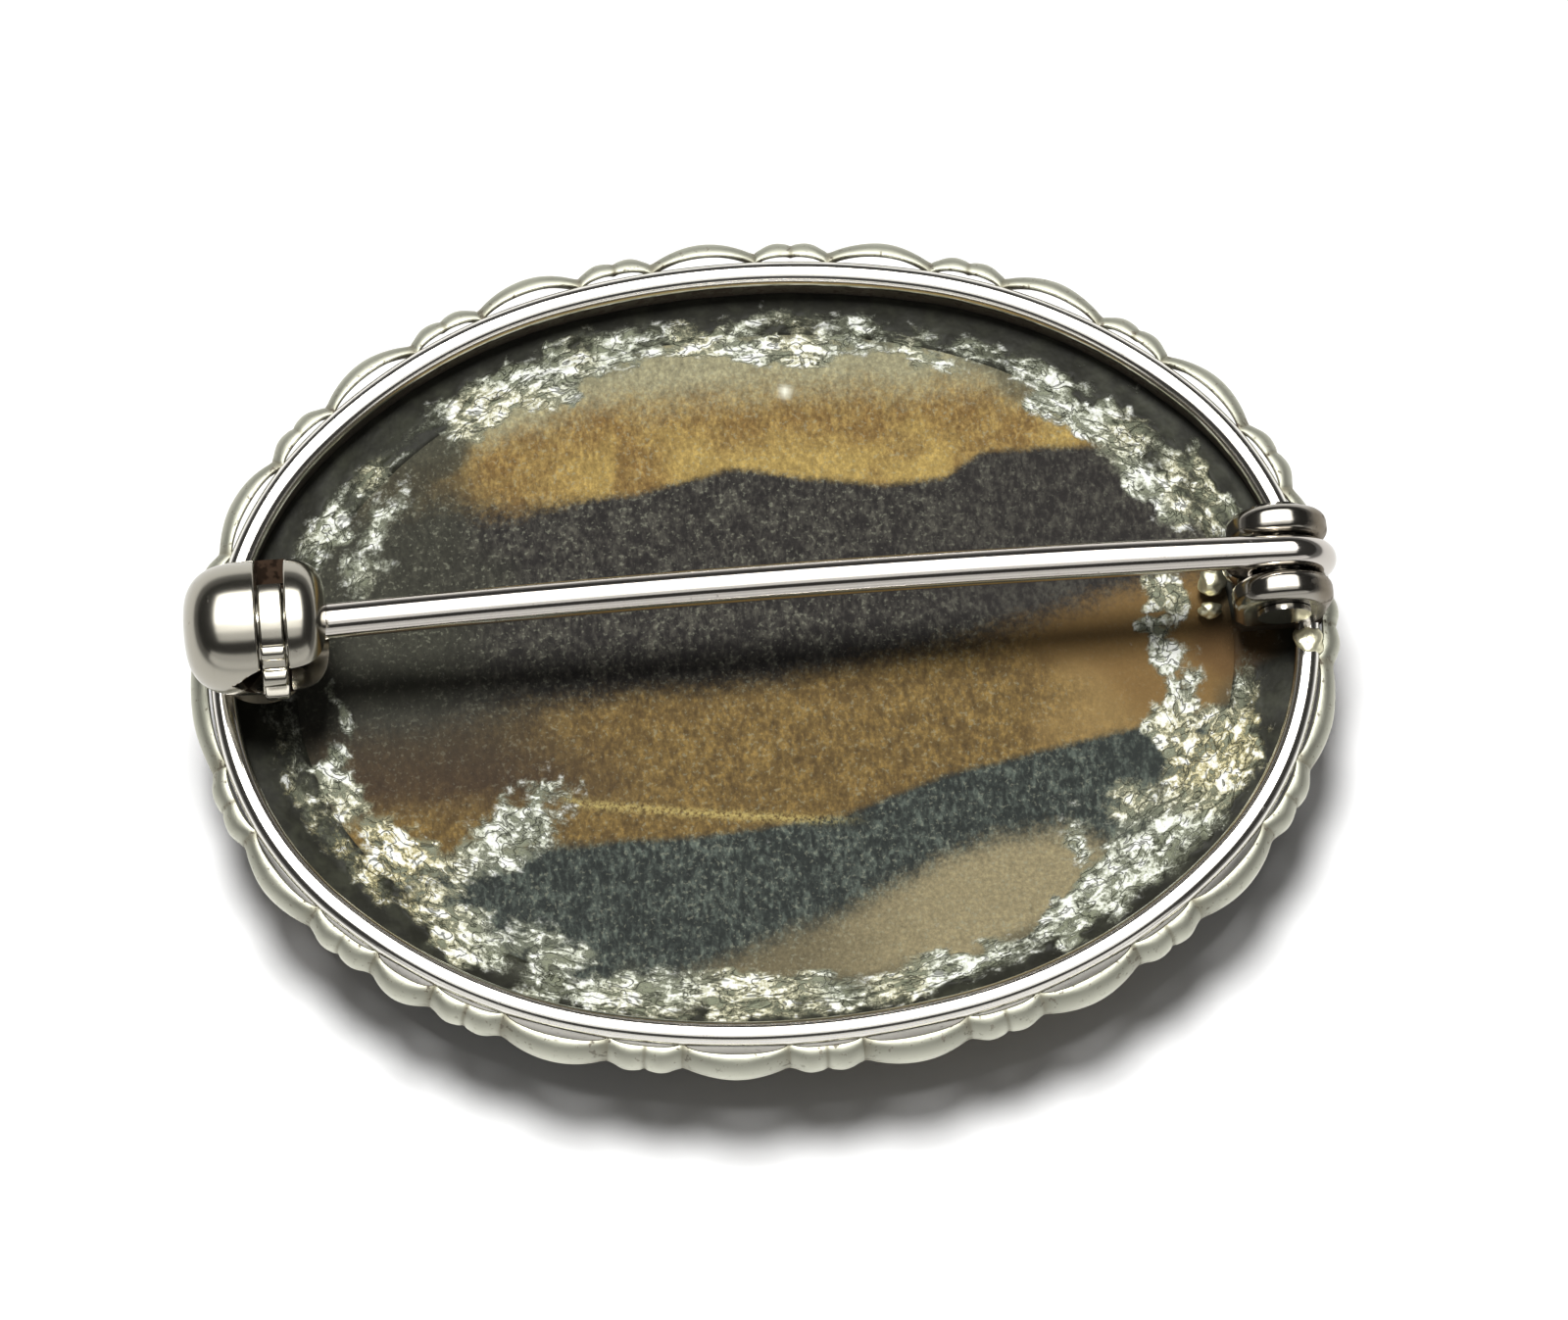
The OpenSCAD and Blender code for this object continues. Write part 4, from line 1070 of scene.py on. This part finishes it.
studio = dict(
    floorRadius=450, sweepRadius=700, sweepHeight=175, floorColour=(0.86, 0.86, 0.86, 1),
    fleckColour=(0.8, 0.8, 0.8, 1), fleckSize=40, fleckShare=0.04, floorRoughness=0.9, panelHeight=400,
    panelSize=(560, 800), panelLean=(0, 80), panelBrightness=0.23,
    mirrored=[(-300, -150, 0.7), (-150, -40, 1.6), (-40, 480, 3.2)], mirroredDrop=4, coreHeight=380,
    coreSize=98, coreLean=(-19, 65), coreBrightness=72.0, nearWall=(900, 240, 420), nearWallBrightness=0.75,
    surround=0.08, surroundColour=(1.0, 0.98, 0.95, 1),
)
camera = dict(azimuth=-3.661, elevation=74.0, distance=200.0, aim=(0.507, -0.492, 6.1), lens=160.12)


def makeFloor():
    # A flat disc whose far edge sweeps up, as paper does in a small studio
    s = studio
    share, around = np.linspace(0, 1, 24)[1:], fullTurn(96)
    swept = blend(s["floorRadius"], s["sweepRadius"], share)
    radius = np.concatenate([np.linspace(0, s["floorRadius"], 6), swept])[:, None]
    z = np.concatenate([np.zeros(6), s["sweepHeight"] * share ** 2])[:, None]
    grid = stacked(radius * np.cos(around), radius * np.sin(around), z)
    faces = gridFaces(*grid.shape[:2], False, True, 0)
    mesh = bpy.data.meshes.new("paper")
    mesh.from_pydata((grid.reshape(-1, 3) * mm).tolist(), [], faces.tolist())
    mesh.shade_smooth()
    paper = Finish("palePaper")
    fleck = paper.noise(s["fleckSize"], 2)
    colour = paper.mix(fleck * s["fleckShare"], s["floorColour"], s["fleckColour"])
    mesh.materials.append(paper.finished(Base_Color=colour, Roughness=s["floorRoughness"]))
    placed("paper_floor", mesh)


def makeLamp(name, shape, sizeX, sizeY, place, brightness, back=(0, 0, 1), onMetalOnly=False):
    # Power that gives an area lamp this brightness: pi * area * brightness
    lamp = bpy.data.lights.new(name, "AREA")
    lamp.shape = shape
    lamp.size, lamp.size_y = sizeX * mm, sizeY * mm
    area = sizeX * sizeY * mm * mm * (math.pi / 4 if shape == "DISK" else 1)
    lamp.energy = math.pi * area * brightness
    holder = placed(name, lamp, place, back)
    holder.visible_camera = False
    if onMetalOnly:
        holder.light_linking.receiver_collection = shinyThings


def makeStudio():
    # A wide dim panel overhead, a bright core that throws the shadow, and a wall that only metal mirrors
    s = studio
    over = (*s["panelLean"], s["panelHeight"])
    makeLamp("panel", "RECTANGLE", *s["panelSize"], over, s["panelBrightness"])
    # What the metal mirrors of the panel: strips from the near edge to the far one, each a stretch of Y
    for low, high, brightness in s["mirrored"]:
        place = (s["panelLean"][0], (low + high) / 2, s["panelHeight"] - s["mirroredDrop"])
        makeLamp("mirroredPanel", "RECTANGLE", s["panelSize"][0], high - low, place, brightness,
                 onMetalOnly=True)
    core = (*s["coreLean"], s["coreHeight"])
    makeLamp("core", "DISK", s["coreSize"], s["coreSize"], core, s["coreBrightness"], core)
    wide, tall, far = s["nearWall"]
    place = (0, -far, tall / 2)
    makeLamp("nearWall", "RECTANGLE", wide, tall, place, s["nearWallBrightness"], (0, -1, 0), True)
    world = bpy.data.worlds.new("dimRoom")
    world.use_nodes = True
    room = world.node_tree.nodes["Background"].inputs
    room["Color"].default_value, room["Strength"].default_value = s["surroundColour"], s["surround"]
    bpy.context.scene.world = world


def makeCamera():
    # It looks at aim from a distance, turned round by azimuth and raised by elevation
    c = camera
    azimuth, elevation = math.radians(c["azimuth"]), math.radians(c["elevation"])
    level = math.cos(elevation)
    back = Vector((level * math.sin(azimuth), -level * math.cos(azimuth), math.sin(elevation)))
    lens = bpy.data.cameras.new("camera")
    lens.lens, lens.sensor_width = c["lens"], 36
    lens.clip_start, lens.clip_end = 0.005, 10
    bpy.context.scene.camera = placed("camera", lens, Vector(c["aim"]) + back * c["distance"], back)


makeFloor()
makeStudio()
makeCamera()
bpy.context.scene.view_settings.view_transform = "Standard"
bpy.context.scene.view_settings.gamma = picture["contrast"]
print("studio made")
